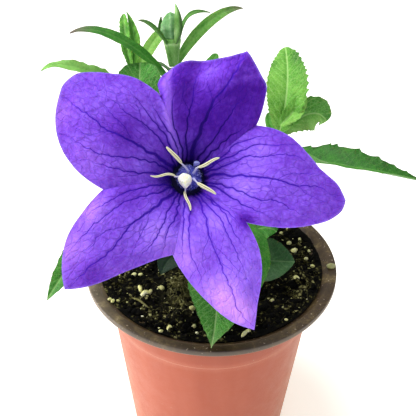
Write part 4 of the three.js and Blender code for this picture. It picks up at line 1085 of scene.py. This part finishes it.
# %% Vein courses
MAIN_VEINS = {
    "top": [
        [(5, 74), (8, 75), (12, 72), (15, 70), (19, 68), (22, 64), (25, 62), (33, 60)],
        [(6, 98), (8, 101), (10, 104), (13, 105), (16, 103), (19, 100), (22, 96)],
        [(6, 90), (11, 90), (15, 88), (19, 84), (22, 84), (27, 80)],
        [(6, 58), (8, 55), (11, 50), (15, 50), (20, 51), (23, 49)],
        [(8, 42), (12, 38), (16, 36), (19, 35)],
    ],
    "right": [
        [(5, -2), (8, -5), (12, -10), (18, -12), (22, -13), (26, -15), (33, -14), (38, -16)],
        [(8, 24), (11, 25), (14, 27), (16, 24), (21, 20), (23, 18)],
        [(6, 20), (8, 19), (11, 17), (17, 17), (19, 16), (22, 12), (25, 10), (28, 8)],
        [(5, 12), (8, 9), (11, 8), (15, 9), (18, 6), (23, 4), (27, 2), (32, -5)],
        [(6, -20), (9, -24), (12, -28), (15, -30), (19, -30), (23, -27), (30, -29)],
        [(7, -30), (10, -34), (12, -38), (16, -41), (22, -38)],
    ],
    "low": [
        [(4, -76), (8, -78), (14, -82), (18, -84), (25, -82), (31, -81), (38, -80), (43, -77)],
        [(6, -106), (14, -107), (17, -107), (23, -104)],
        [(6, -98), (12, -100), (17, -101), (22, -99), (25, -96), (30, -93)],
        [(5, -66), (10, -69), (14, -68), (20, -70), (30, -72)],
        [(6, -56), (10, -59), (14, -60), (17, -62), (21, -65), (24, -65)],
        [(8, -54), (12, -56), (16, -56), (19, -58)],
    ],
    "left_low": [
        [(4, -140), (9, -142), (14, -142), (22, -144), (30, -141), (36, -142), (44, -142)],
        [(5, -165), (9, -166), (14, -168), (18, -168), (22, -165), (26, -163), (30, -162)],
        [(5, -154), (12, -157), (16, -159), (20, -160), (23, -158), (27, -157), (33, -154),
         (38, -152)],
        [(5, -130), (10, -128), (13, -129), (16, -126), (20, -125), (27, -128)],
        [(6, -120), (12, -117), (16, -119), (24, -117)],
    ],
    "left": [
        [(5, -222), (9, -214), (13, -210), (24, -209), (30, -212), (39, -215)],
        [(8, -250), (12, -246), (20, -244)],
        [(5, -240), (11, -241), (17, -237), (24, -236)],
        [(5, -232), (13, -232), (18, -228), (23, -225), (27, -226)],
        [(5, -205), (15, -198), (19, -194), (24, -194), (33, -200)],
        [(5, -188), (14, -184), (19, -185), (22, -186), (27, -190)],
    ],
}
# How wide the midrib's flame is in mm, how strongly the veins are inked, and tone. The top
# petal's low tone is partly its own darker violet and partly painted shade, as its face turns down
# away from the light above.
PETAL_LOOKS = {
    "top": (1.35, 1.0, -0.22), "right": (0.75, 0.78, 0.04), "low": (0.5, 0.5, 0.11),
    "left_low": (1.0, 0.85, 0.06), "left": (1.05, 0.85, 0.05),
}
BRANCHES = {
    "top": [
        [(16, 87), (18, 90), (20, 92), (23, 90), (26, 88)],
        [(19, 68), (22, 74), (24, 76), (27, 74)],
        [(16, 69), (20, 62), (22, 59), (25, 54), (28, 49)],
    ],
    "right": [
        [(22, -13), (24, -10), (27, -8), (32, -8), (36, -10)],
        [(20, -13), (21, -19), (23, -24), (26, -24)],
        [(26, -15), (29, -17), (32, -19), (36, -20)],
    ],
    "low": [
        [(18, -84), (20, -88), (22, -91), (25, -92), (28, -90)],
        [(21, -83), (23, -79), (25, -77), (29, -74), (32, -73)],
        [(25, -82), (28, -78), (31, -75)],
    ],
    "left_low": [
        [(22, -144), (25, -147), (27, -149), (30, -150), (34, -148), (37, -149)],
        [(17, -142), (18, -139), (21, -136), (24, -134), (28, -132)],
    ],
    "left": [
        [(18, -211), (21, -216), (26, -219), (31, -222)],
        [(18, -228), (20, -232), (26, -236)],
        [(30, -212), (32, -216), (34, -218)],
        [(24, -209), (26, -206), (29, -203), (34, -206)],
        [(14, -184), (16, -180), (20, -179), (22, -181)],
    ],
}

SIDE_FLAME = 0.42
FLAME_REACH = 12
MIDRIB_LINE = 0.14
VEIN_LINE = 0.11


def vein_ratio(routes, midrib_flame, radius, angle):
    """Signed distance to the nearest of some veins, divided by its width and kept within 6. Near
    the throat main veins are flames that narrow as exp(-radius / 12); the first, the midrib, has
    the widest. Branches have no flame."""
    main = midrib_flame > 0
    nearest = np.full(radius.shape, 6.0)
    sign = np.ones(radius.shape)
    for number, route in enumerate(routes):
        begin, end = route[0][0], route[-1][0]
        flame = (SIDE_FLAME if number else midrib_flame) if main else 0.0
        width = flame * np.exp(-radius / FLAME_REACH) + (VEIN_LINE if number else MIDRIB_LINE)
        width *= 1 - 0.75 * step(end - 6, end, radius)
        width *= 1 - 0.97 * step(end - 0.5, end + 1.5, radius)
        width *= 1 if main else 0.03 + 0.97 * step(begin - 2.5, begin, radius)
        wander = lumps(np.stack([radius, 0 * radius + number * 9, 0 * radius], -1), 1.3, 21)
        zigzag = lumps(np.stack([radius, 0 * radius, 0 * radius + number * 7], -1), 0.8, 22)
        course = np.radians(through(route, radius)) + (0.32 * wander + 0.18 * zigzag) / radius
        ratio = (np.radians(angle) - course) * radius / np.maximum(width, 0.02)
        sign = np.where(ratio < 0, -sign, sign)
        nearest = np.minimum(nearest, np.abs(ratio))
    return sign * nearest


# %% [markdown]
# The bell's height above the foot is 20 (1 - exp(-(r - 4.2) / 10.5)): steep at the throat, nearly
# flat at the margin. Midribs stand up as low roofs, the seams between petals sink, and each tip
# bends up or down by its own amount. Soft spots and creases then place the few big dents that
# make this bloom this one. The same sort of spots and ridges lighten and darken the tone mark for
# the finish: partly the petals' own tone, partly painted light and shade, darker in notches and
# creases and lighter where a petal faces the light.

# %% Petal relief
BELL_DEPTH = 20
FLARE = 10.5
BELL_FOOT = 4.2
# angle, radius, spread and height in mm
HEIGHT_SPOTS = [
    (-240, 22, 6, 0.5), (-200, 26, 6, 0.6), (-222, 33, 5, -0.5), (-88, 25, 3.5, -0.7),
    (-150, 27, 5, 0.5), (-125, 21, 4, 0.5), (0, 24, 6, 0.7), (-35, 26, 5, -0.5), (44, 22, 5, -0.6),
]
# (radius, angle) along it, width and height in mm
CREASES = [
    ([(7, 112), (11, 112), (15, 109), (20, 106), (25, 103)], 1.4, 1.3),
    ([(16, 88), (20, 86), (25, 83), (30, 80)], 2.6, -1.1),
    ([(16, 66), (22, 66), (28, 64)], 2.6, 0.5),
    ([(12, -104), (17, -104), (23, -104)], 1.6, -0.5),
]
# angle, radius, spread and change of tone. Many are painted light and shade: darker in notches
# and creases, such as where the right and low petals meet, and lighter where a petal faces the light.
TONE_SPOTS = [
    (-229, 30, 6, -0.03), (-208, 36, 5, -0.08), (-214, 21, 5, -0.27), (-222, 30, 4, 0.07),
    (-222, 39, 4, 0.05),
    (-192, 14, 3, 0.12), (-239, 19, 4, 0.05),
    (76, 25, 3, 0.26), (72, 28, 3, 0.15), (92, 24, 3.5, -0.14), (82, 26, 2, -0.10), (44, 22, 7, -0.14),
    (70, 15, 5, -0.12), (88, 17, 5, -0.08), (54, 28, 3.5, 0.04), (52, 23, 3, -0.10),
    (52, 12, 4, -0.12),
    (12, 18, 4, 0.20), (-12, 18, 4, 0.06), (-13, 11, 3, 0.14), (-26, 14, 4, 0.24), (-4, 26, 5, 0.05),
    (-14, 40, 4, -0.12), (-52, 19, 2.4, -0.45), (10, 26, 5, -0.08),
    (-86, 33, 4.5, 0.22), (-81, 39, 4, 0.25), (-88, 25, 3, -0.08), (-108, 13, 3, -0.20),
    (-72, 29, 6, 0.13), (-73, 13, 4, 0.18), (-103, 23, 4, 0.10), (-65, 19, 3, 0.0), (-4, 28, 4, -0.07),
    (-153, 38, 5, 0.10), (-164, 29, 4, 0.16), (-164, 18, 4, -0.16), (-142, 38, 4, -0.12),
    (-143, 24, 4, 0.02), (-124, 19, 5, 0.34), (-138, 39, 4, -0.10),
]
# (radius, angle) along a ridge, its width and change of tone: painted light along folds that face
# the light, and painted shade beside them.
TONE_RIDGES = [
    ([(6, 110), (10, 112), (13, 109.5), (17, 106.5), (20, 103.5), (24, 101.5), (27, 98)], 1.15, 0.62),
    ([(22, 67), (25, 60), (28, 53), (31, 47)], 1.3, 0.14),
    ([(20, 64), (23, 57), (26, 50), (28, 44)], 1.5, -0.13),
    ([(6, -107), (9, -107), (13, -105), (16, -104)], 1.2, 0.3),
]
# Painted highlights: spots where the thin petals catch the light are painted pinkish
PINK_HIGHLIGHT_SPOTS = [
    (-86, 34, 4.5, 0.75), (-80, 39, 4, 0.8), (-103, 23, 4, 0.3), (-153, 38, 4, 0.4),
    (-164, 29, 3.5, 0.4), (-208, 38, 4, 0.25), (-190, 28, 5, 0.15), (-148, 43, 4, 0.1),
]


def spots(table, radius, angle):
    """Sum of round soft spots, each amount * exp(-(distance / spread)^2)."""
    a = np.radians(angle)
    x, y = radius * np.cos(a), radius * np.sin(a)
    total = np.zeros(radius.shape)
    for spot_angle, spot_radius, spread, amount in table:
        dx = x - spot_radius * math.cos(math.radians(spot_angle))
        dy = y - spot_radius * math.sin(math.radians(spot_angle))
        total += amount * np.exp(-(dx * dx + dy * dy) / spread ** 2)
    return total


def from_angle(angle, middle):
    """How far an angle is past a middle one, from -180 to 180 degrees."""
    return (angle - middle + 180) % 360 - 180


def creases(table, radius, angle):
    """Sum of soft folds along courses, each height * exp(-(distance / width)^2)."""
    total = np.zeros(radius.shape)
    for route, width, height in table:
        begin, end = route[0][0], route[-1][0]
        away = np.radians(from_angle(angle, through(route, radius))) * radius / width
        faded = step(begin - 2, begin + 3, radius) * (1 - step(end, end + 5, radius))
        total += height * np.exp(-away ** 2) * faded
    return total


COLUMNS_PER_SIDE = 44
RINGS = 105
# Height and size of the skin's lumps in mm, their seed and the radii between which they grow
PETAL_LUMPS = [(0.45, 9.0, 31, 12, 22), (0.16, 2.6, 32, 14, 20), (0.15, 1.2, 33, 22, 28)]
ring_share = np.linspace(0, 1, RINGS)[:, None] ** 0.92
parts = []
for number, (petal, (tip, curl, *margins)) in enumerate(PETALS.items()):
    flame, ink, tone = PETAL_LOOKS[petal]
    for side, margin in enumerate(margins):
        first, last = margin[0][0], margin[-1][0]
        angle = np.linspace(first, last, COLUMNS_PER_SIDE, endpoint=False)[None, :] + 0 * ring_share
        radius = FOOT_RADIUS + (through(margin, angle) - FOOT_RADIUS) * ring_share
        u = np.abs((angle - tip) / ((last if side else first) - tip))
        turn = np.radians(angle - tip)
        across, along = radius * np.sin(turn), radius * np.cos(turn)
        bell = BELL_DEPTH * (1 - np.exp(-(radius - BELL_FOOT) / FLARE))
        relief = np.exp(-((radius - 17) / 8) ** 2) * (0.6 * (1 - u) ** 1.5 - 1.3 * u ** 3)
        keel = -0.10 * np.sqrt(across ** 2 + 1) * step(14, 28, radius)
        bend = curl * np.clip((radius - 13) / 30, 0, 1.3) ** 1.6 * np.cos(np.pi * u / 2) ** 0.8
        roll = 1.9 if petal == "top" and side == 0 else 1.1
        rolled = -roll * step(0.74, 1, ring_share) * step(14, 24, radius)
        parts.append({
            "radius": radius, "angle": angle, "height": bell + relief + keel + bend + rolled,
            "vein": vein_ratio(MAIN_VEINS[petal], flame, radius, angle),
            "branch": vein_ratio(BRANCHES[petal], 0, radius, angle),
            "petal": np.stack([across, along, 37 * number + 0 * along], -1),
            "tone": tone * step(9, 15, radius),
            "ink": ink * (1 - 0.55 * step(0.4, 1, ring_share)) + 0 * angle,
        })
bloom = {key: np.concatenate([part[key] for part in parts], axis=1) for key in parts[0]}
radius, angle = bloom.pop("radius"), bloom.pop("angle")
flat = np.stack([radius * np.cos(np.radians(angle)), radius * np.sin(np.radians(angle)), 0 * radius], -1)
height = bloom.pop("height") + spots(HEIGHT_SPOTS, radius, angle) + creases(CREASES, radius, angle)
for amount, size, seed, begin, end in PETAL_LUMPS:
    height += amount * lumps(flat, size, seed) * step(begin, end, radius)
height -= 0.14 * np.exp(-bloom["vein"] ** 2 / 2) + 0.09 * np.exp(-bloom["branch"] ** 2 / 2)
front = in_bloom(np.concatenate([flat[..., :2], height[..., None]], axis=-1))
# The skin thins from 0.38 mm at the throat to 0.14 mm at the margin
thickness = (0.38 - 0.24 * ring_share)[..., None]
back = front - sheet_normals(front, bloom_axis, round_columns=True) * thickness
print("corolla height from", round(height.min(), 1), "to", round(height.max(), 1), "mm")

# %% Corolla piece and marks
flames = np.exp(-(bloom["vein"] / 1.1) ** 2) * (1 - step(6, 13, radius))
turned_in = np.exp(-(from_angle(angle, 76) / 26) ** 2)
right_gap_shade = np.exp(-(from_angle(angle, 0) / 40) ** 2)
gap_left = np.exp(-((angle + 176) / 26) ** 2)
# The throat mark is painted shade: near-black in the sunken ring round the dome, and widest on the right,
# where the gap beside the dome lies in shade
throat_shade_edge = radius + 0.4 * lumps(flat, 1.2, 34) - 0.8 * flames - 0.3 * right_gap_shade
navy = 1 - step(5, 13, radius + 0.6 * lumps(flat, 1.2, 35))
bloom["tone"] += spots(TONE_SPOTS, radius, angle) + creases(TONE_RIDGES, radius, angle)
bloom["pink"] = np.clip(spots(PINK_HIGHLIGHT_SPOTS, radius, angle), 0, 1)
# Painted light: the thin fold between the top and the left petal is painted bright, where light
# falls through it
bloom["fold"] = np.clip(1.5 * creases(TONE_RIDGES[:1], radius, angle), 0, 1)
bloom["throat"] = 1 - step(3.9, 4.9, throat_shade_edge)
bloom["navy"] = navy * (0.5 * turned_in + 0.8 * gap_left + 0.08)
bloom["margin"] = step(0.972, 1.0, ring_share + 0 * radius)
bloom["back"] = 0 * radius
rows = np.concatenate([front, back[::-1]])
marks = {}
for name, values in bloom.items():
    other = 1 + values if name == "back" else values[::-1]
    marks[name] = np.concatenate([values, other]).reshape((-1,) + values.shape[2:])
corolla_triangles = sheet_triangles(*rows.shape[:2], round_rows=True, round_columns=True)
corolla_solid = solid(rows.reshape(-1, 3), corolla_triangles, marks)

# %% [markdown]
# A petal is thin and satiny. Its violet changes softly by cloudy noise and by the tone mark,
# which also carries painted light and shade, and painted pinkish highlights lie where the petals
# catch the light. A faint net joins the veins, and the throat is navy, painted near-black as
# painted shade where it sinks furthest round the dome. A little light goes through the skin, so
# shaded sides stay rich in colour and don't turn grey.

# %% Petal material
petal_material, add = new_material("violet petal", 0.6, 1.33, {
    "Subsurface Weight": 0.12, "Subsurface Scale": 0.0006, "Specular IOR Level": 0.1,
})
place = add("Attribute", output="Vector", attribute_name="petal")
mark = {name: add("Attribute", output="Fac", attribute_name=name) for name in bloom if name != "petal"}
clouds = add("TexNoise", {"Vector": place, "Scale": 0.32, "Detail": 6, "Roughness": 0.6})
blotches = add("TexNoise", {"Vector": place, "Scale": 0.9, "Detail": 3, "Roughness": 0.6})
long_cells = add("Mapping", {"Vector": place, "Scale": (0.6, 0.34, 1.0)})
swayed = add("TexNoise", {"Vector": place, "Scale": 0.5, "Detail": 2}, output="Color")
sway = add("VectorMath", (swayed, (0.5, 0.5, 0.0), long_cells), operation="MULTIPLY_ADD")
net_cells = add("TexVoronoi", {"Vector": sway, "Scale": 1.0}, feature="DISTANCE_TO_EDGE")
net = add("MapRange", (net_cells, 0.11, 0.03), interpolation_type="SMOOTHSTEP")
cloud_part = add("Math", (clouds, 0.42, mark["tone"]), operation="MULTIPLY_ADD")
level = add("Math", (blotches, 0.42, cloud_part), operation="MULTIPLY_ADD")
violet = add("ValToRGB", (level,), [
    (0.0, "#48149a"), (0.2, "#5f2ab6"), (0.4, "#7743d3"), (0.62, "#9365f2"), (1.0, "#b48aff"),
])
ink_tone = add("ValToRGB", (mark["ink"],), [
    (0.1, "#7240dc"), (0.5, "#4618b6"), (0.8, "#340ea0"), (1.0, "#1f066e"),
])
patchy = add("MapRange", (clouds, 0.42, 0.6))
# A vein's mark passes through 0 on the vein, so a line ends where the mark's size passes a limit
line = {}
for name, course, inner, outer in (
        ("main", "vein", 0.35, 1.15), ("halo", "vein", 0.5, 3.6), ("branch", "branch", 0.35, 1.15)):
    size = add("Math", (mark[course],), operation="ABSOLUTE")
    line[name] = add("MapRange", (size, outer, inner), interpolation_type="SMOOTHSTEP")
petal_coats = [
    (net, "#4713a4", patchy, 0.6, mark["ink"]), (mark["pink"], "#dd9cff", 0.7),
    (mark["fold"], "#a066ff", 0.65), (line["halo"], "#3c0e96", 0.25, mark["ink"]),
    (mark["navy"], "#220a78"), (line["branch"], ink_tone, 0.75), (line["main"], ink_tone, 0.92),
    (mark["throat"], "#140a52", 0.9), (mark["margin"], "#9a80f4", 0.5), (mark["back"], "#8f7ad0", 0.25),
]
skin_cells = add("TexNoise", {"Vector": place, "Scale": 3.0, "Detail": 3})
lowered = add("Math", (net, -0.9, skin_cells), operation="MULTIPLY_ADD")
relief = add("Math", (blotches, 1.5, lowered), operation="MULTIPLY_ADD")
gloss = add("MapRange", (blotches, 0.3, 0.7, 0.5, 0.68))
finish(petal_material, painted(add, violet, petal_coats), relief, 0.6, 0.00028, gloss)
add_piece("corolla_skin", [corolla_solid], petal_material, "petal", "corolla")

# %% [markdown]
# The calyx is a small green cup under the bell with five narrow sepals that lie against the seams.
# The stamens' broad feet close over the ovary as a fuzzy dome. Above it each narrows to a pale
# filament and ends in an anther, two sacs with a groove between them where the pollen comes out.

# %% Calyx
CALYX_PROFILE = [(0.1, -8.8), (1.5, -8.8), (1.75, -8.6), (3.1, -6.5), (4.2, -4.2), (4.8, -2.4),
                 (5, -1.3), (4.7, -0.9), (4.1, -0.7), (4.1, 0.3), (0.3, 0.3)]
SEAM_ANGLES = [107.5, 30, -51, -110.5, -173]
calyx_material = leaf_material(
    "calyx skin", ("#275c12", "#4e8a30", "#78ad58", "#acd28c"), "#bcdc9c", "#7aa65e", 0.5, 0.12
)


def cup(profile, sides, ribs, place):
    """A turned cup with low ribs along it, put into the plant by a function of places."""
    rings = turned(drawn_out(profile, 0.4), sides)
    around = angle_at(rings)
    ribbing = np.cos(ribs * around)
    rings[..., :2] *= (1 + 0.035 * ribbing)[..., None]
    # A pale band round the cup, 1.6 mm below its top, is a painted highlight
    cup_highlight_band = 0.4 * np.exp(-((rings[..., 2] - profile[-2][1] + 1.6) / 0.5) ** 2)
    return skin(place(rings), blade=np.stack([4 * around, rings[..., 2], 0 * around], -1),
                tint=0.5 + 0.1 * ribbing + cup_highlight_band, brown=0.0, under=0.0, veins=0.2)


calyx = [cup(CALYX_PROFILE, 60, 10, in_bloom)]
for number, seam in enumerate(SEAM_ANGLES):
    points = [bloom_point(seam, *place) for place in ((3.4, -2.6), (7, -3), (10, -1.5), (13, 2))]
    calyx.append(leaf_blade(points, (0, 0, 1), 3.2, 0.4, 0.8, 10, seed=number, teeth=(2, 0.05),
                            wave=0.1, quilt=0.04, tint=0.5, keel=0.3))
add_piece("flower_calyx_skin", calyx, calyx_material, "calyx", "flower_calyx")

# %% Stamen shapes
HAIRS = 120
# angle, place where the anther starts, its end, its thickness and how far it wavers
STAMENS = {
    "stamen_1": (107.5, (-2.3, 3.0, 8.6), (-6.1, 7.6, 10.4), 0.86, 0.08),
    "stamen_2": (30, (2.1, 1.7, 8.2), (8.1, 3.3, 9.6), 0.76, 0.25),
    "stamen_3": (-51, (1.4, -2.5, 8), (5.9, -6.4, 9.2), 0.88, 0.1),
    "stamen_4": (-110.5, (-2.2, -4.6, 8.4), (-1.8, -10.2, 10.3), 0.68, 0.3),
    "stamen_5": (-173, (-4.4, -0.5, 8.9), (-11.3, 0.3, 11.4), 0.55, 0.55),
}


def stamen(angle, start, end, slim, waves, seed, rng):
    """One stamen: a broad hairy foot, a thin filament and a grooved anther. The mark called part
    is low on the foot and its hairs, about 0.5 on the filament and 1 on the anther."""
    points = [bloom_point(angle, *place) for place in ((3.0, 0.7), (3.8, 3), (3.1, 5.2), (0.4, 5.9))]
    outward = bloom_point(angle, 1, 0) - bloom_point(angle, 0, 0)
    foot = leaf_blade(points, outward, 4.3, 0.42, 0.6, -14, seed=seed, teeth=(1.1, 0.15), wave=0.1,
                      quilt=0, keel=0.5)
    foot["points"] += 0.16 * lumps(foot["points"], 0.5, seed)[:, None] * outward
    foot["marks"] = {"part": np.full(len(foot["points"]), 0.1), "groove": np.zeros(len(foot["points"]))}
    hairs = []
    for _ in range(HAIRS):
        hair_angle = angle + rng.uniform(-34, 34)
        climb = rng.uniform(0, 1)
        root_radius = np.interp(climb, [0, 0.4, 0.7, 1], [3.2, 3.2, 2.6, 0.8])
        root_height = np.interp(climb, [0, 0.4, 0.7, 1], [1.8, 3.9, 5.0, 5.8])
        root = bloom_point(hair_angle, root_radius, root_height)
        lean = unit(outward + rng.normal(0, 0.5, 3) + 0.3 * bloom_axis)
        path = root + lean * np.linspace(0, rng.uniform(0.3, 0.7), 3)[:, None]
        rings = sweep(path, np.cross(lean, bloom_right + 0.3 * bloom_up), [0.07, 0.06, 0.02], 3)
        hairs.append(skin(rings, part=0.12 + 0.24 * (rng.uniform() > 0.6), groove=0.0))
    t = np.linspace(0, 1, 26)
    first, last = in_bloom(start), in_bloom(end)
    along = last - first
    line = [bloom_point(angle, 1.2, 5.4), bloom_point(angle, 1.7, 7.0), first - 0.15 * along,
            first + 0.05 * along]
    rings = sweep(bezier(line, t), bloom_axis, np.linspace(0.42, 0.2, 26), 12)
    filament = skin(rings, part=0.4 + 0.14 * t[:, None] + 0 * rings[..., 0], groove=0.0)
    sag = 0.35 * np.sin(np.pi * t)[:, None] * bloom_axis
    wavering = waves * np.sin(5.2 * t + 0.4)[:, None] * np.cross(unit(along), bloom_axis)
    path = first + along * t[:, None] + sag + wavering
    radii = slim * through([(0, 0.22), (0.1, 0.46), (0.35, 0.56), (0.7, 0.48), (0.9, 0.36), (1, 0.16)], t)
    around = round_angles(24)
    top_side = np.exp(-((around - np.pi / 2) / 0.32) ** 2)
    low_side = np.exp(-((around - 3 * np.pi / 2) / 0.32) ** 2)
    section = 1 + 0.1 * np.cos(2 * around) - 0.3 * top_side - 0.3 * low_side
    anther = skin(
        sweep(path, bloom_axis, radii[:, None] * section[None, :]), part=1.0,
        groove=top_side[None, :] * np.sin(np.pi * np.clip(t, 0.08, 0.92))[:, None] ** 0.5,
    )
    return [foot, *hairs, filament, anther]


# %% [markdown]
# The feet are inky blue under blue and lilac hairs. The filaments are nearly white with a lilac
# cast, and the anthers are cream with an olive groove and grains of pollen.

# %% Stamen material and pieces
stamen_material, add = new_material("stamen and pollen", 0.62, 1.42)
part_mark, groove_mark = (add("Attribute", output="Fac", attribute_name=mark) for mark in ("part", "groove"))
fuzz = add("TexNoise", {"Vector": add("TexCoord", output="Object"), "Scale": 1500, "Detail": 4})
fuzz_part = add("Math", (fuzz, 0.22, part_mark), operation="MULTIPLY_ADD")
part_level = add("Math", (fuzz_part, 0.11), operation="SUBTRACT")
stamen_tone = add("ValToRGB", (part_level,), [
    (0.0, "#0e0e3c"), (0.05, "#34389a"), (0.13, "#6267c2"), (0.3, "#9a9fe2"), (0.5, "#cfceec"),
    (0.62, "#dcd8e0"), (0.85, "#efecae"), (1.0, "#f8f5c6"),
])
finish(stamen_material, painted(add, stamen_tone, [(groove_mark, "#6d6026")]), fuzz, 0.6, 0.0002)
rng = np.random.default_rng(12)
for number, (name, shape) in enumerate(STAMENS.items()):
    pieces = stamen(*shape, number + 1, rng)
    if name == "stamen_2":
        # Its foot keeps a pale rough knob beside the filament
        knob = BALL * (1 + 0.5 * lumps(BALL, 0.7, 2))[..., None] * np.array([0.8, 0.7, 1.6])
        pieces.append(skin(in_bloom(knob + np.array([2.2, 3.2, 5.6])), part=0.3, groove=0.0))
    add_piece(name + "_body", pieces, stamen_material, "stamen", name)
# Below the feet the ovary's top closes the throat. Its part mark lies below theirs, so it is
# painted near-black: painted shade in the ring round the dome.
OVARY_TOP = [(0.1, 0.32), (4.3, 0.32), (4.7, 0.75), (4.4, 1.0), (3.6, 1.6), (3.0, 3.4), (2.2, 4.6),
             (0.1, 5.2)]
ovary = turned(drawn_out(OVARY_TOP, 0.4), 40)
ovary += 0.12 * lumps(ovary, 0.7, 9)[..., None] * np.array([1.0, 1.0, 0.5])
add_piece("ovary_top", [skin(in_bloom(ovary), part=-0.04, groove=0.0)], stamen_material, "stamen")

# %% [markdown]
# The pistil's head is closed in a bud-like knob, five lobes pressed together, cream white and
# dusted with pollen. The material is pale with fine grains, and the bump gives a soft velvet.

# %% Pistil
STYLE = [(0, 0, 0.65), (0, 0, 4), (-0.6, -0.6, 7), (-1.9, -1.6, 9.6)]
HEAD_CENTRE = np.array([-2.1, -1.75, 10.2])
HEAD_HALF = np.array([1.9, 1.8, 1.5])
HEAD_TURN = math.radians(-12)
stigma_material, add = new_material("stigma velvet", 0.6, 1.4, {
    "Subsurface Weight": 0.15, "Subsurface Scale": 0.0006,
})
velvet = add("TexNoise", {"Vector": add("TexCoord", output="Object"), "Scale": 2400, "Detail": 3})
stigma_tone = add("ValToRGB", (velvet,), [(0.3, "#e6e8bc"), (0.5, "#f7f8dc"), (0.7, "#ffffff")])
finish(stigma_material, stigma_tone, velvet, 0.6, 0.0002)
style_radii = np.interp(np.linspace(0, 1, 30), np.linspace(0, 1, 6), [0.6, 0.5, 0.5, 0.5, 0.6, 0.8])
style_path = in_bloom(bezier(STYLE, np.linspace(0, 1, 30)))
style = skin(sweep(style_path, bloom_up, style_radii, 16))
polar = np.linspace(0.06, np.pi - 0.06, 26)
head = turned(np.stack([np.sin(polar), -np.cos(polar)], -1), 50)
around = angle_at(head)
side_share = np.sin(polar)[:, None] ** 2
lobed = 1 - 0.06 * np.abs(np.cos(2.5 * around)) * side_share + 0.05 * lumps(head, 0.5, 3)
lobed += 0.42 * np.exp(-((around + np.pi / 2 - 0.15) / 0.4) ** 2) * side_share
head = spun(head * lobed[..., None] * HEAD_HALF, HEAD_TURN)
add_piece("pistil_body", [style, skin(in_bloom(head + HEAD_CENTRE))], stigma_material, "stigma", "pistil")

# %% [markdown]
# Above the bloom stands a bud. Its petals are still closed along five raised pale seams, like a
# small paper lantern, and neighbours differ in tone. The cup below it ends in five narrow sepals,
# each bent its own way.

# %% Bud
BUD_UP = unit(np.array([-0.06, 0.33, 0.94]))
bud_back = unit(np.cross(BUD_UP, (1.0, 0.0, 0.0)))
bud_right = np.cross(bud_back, BUD_UP)


def in_bud(places):
    """Places given as right, back and height above the bud's foot, as places in the plant."""
    return BUD_CENTRE + 0.3 * BUD_UP + np.asarray(places, float) @ np.stack([bud_right, bud_back, BUD_UP])


# path, width, tint, tint across, how brown the tip is and patches of another tint
BUD_SEPALS = [
    ([(-1.3, -1.9, 7.2), (-3.2, -3.6, 10), (-6, -4, 14.6), (-9.5, -4, 14.3)], 1.7, 0.15, 0.0, 0.5),
    ([(1.2, -2.1, 7.2), (3.1, -4.2, 11), (2.7, -3.9, 15.2), (1.7, -1.6, 18.4)], 2.9, 0.1, 0.4, 0.0,
     (0.2, 0.85, 2.2, 0.45), (0.5, 0.3, 2, 0.3)),
    ([(1.9, 1.4, 7.8), (3.6, 6, 15), (6, 4.2, 17.4), (12, 4, 15.6)], 1.7, 0.25, 0.0, 0.2),
    ([(-1.9, 1.4, 7.8), (-4.1, 3.4, 10), (-4.1, 3.4, 12.5), (-3, 3, 15)], 2.6, 0.2, 0.0, 0.5),
    ([(0, 2.3, 7.8), (0, 4.6, 10.5), (0.5, 5.5, 14), (1, 8.5, 15)], 2.4, 0.3, 0.0, 0.0),
]
BUD_CUP = [(0.1, 0), (1.2, 0), (1.45, 0.4), (1.9, 3.5), (2.6, 7.2), (2.75, 8.1), (2.5, 8.35), (0.2, 8.35)]
bud_parts = [cup(BUD_CUP, 50, 5, in_bud)]
for number, (points, width, tint, side_tint, brown, *patches) in enumerate(BUD_SEPALS):
    x, y, _ = points[0]
    inward = in_bud((-x, -y, 0)) - in_bud((0, 0, 0))
    sepal = leaf_blade(in_bud(points), inward, width, 0.4, 0.7, 10, number + 3, (3, 0.06), 0.15, 0.06,
                       tint, side_tint, brown, keel=0.3, patches=patches)
    # Both faces of a sepal look alike, and its veins hardly show
    sepal["marks"]["under"] *= 0
    sepal["marks"]["veins"] *= 0.15
    bud_parts.append(sepal)
add_piece("bud_calyx_skin", bud_parts, calyx_material, "calyx", "bud_calyx")

BUD_PROFILE = [(0.1, 8.4), (2.4, 8.42), (2.6, 8.7), (2.95, 9.8), (3.25, 11), (3.15, 12.6),
               (2.3, 14.6), (1.1, 15.9), (0.1, 16.35)]
bud_rings = turned(drawn_out(BUD_PROFILE, 0.25), 100)
turn = 2.5 * angle_at(bud_rings) + 0.9
seam = 1 - np.abs(np.sin(turn))
bud_rings[..., :2] *= (0.96 + 0.06 * seam ** 1.5)[..., None]
bud_solid = skin(in_bud(bud_rings), seam=0.75 * seam ** 5 + 0.3 * (np.floor(turn / np.pi) % 2))
bud_material, add = new_material("closed petal skin", 0.5, 1.42, {
    "Subsurface Weight": 0.12, "Subsurface Scale": 0.0008,
})
bud_noise = add("TexNoise", {"Vector": add("TexCoord", output="Object"), "Scale": 900, "Detail": 4})
seam_mark = add("Attribute", output="Fac", attribute_name="seam")
bud_level = add("Math", (seam_mark, 0.45, bud_noise), operation="MULTIPLY_ADD")
bud_tone = add("ValToRGB", (bud_level,), [
    (0.3, "#467a3e"), (0.55, "#5f9453"), (0.8, "#7dae70"), (1.0, "#9dc78c"),
])
finish(bud_material, bud_tone, bud_noise, 0.4, 0.0002)
add_piece("bud_skin", [bud_solid], bud_material, "bud_skin", "bud")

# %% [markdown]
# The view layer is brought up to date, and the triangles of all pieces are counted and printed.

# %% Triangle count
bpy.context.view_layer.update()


print("triangles in all:", sum(triangles_made.values()))
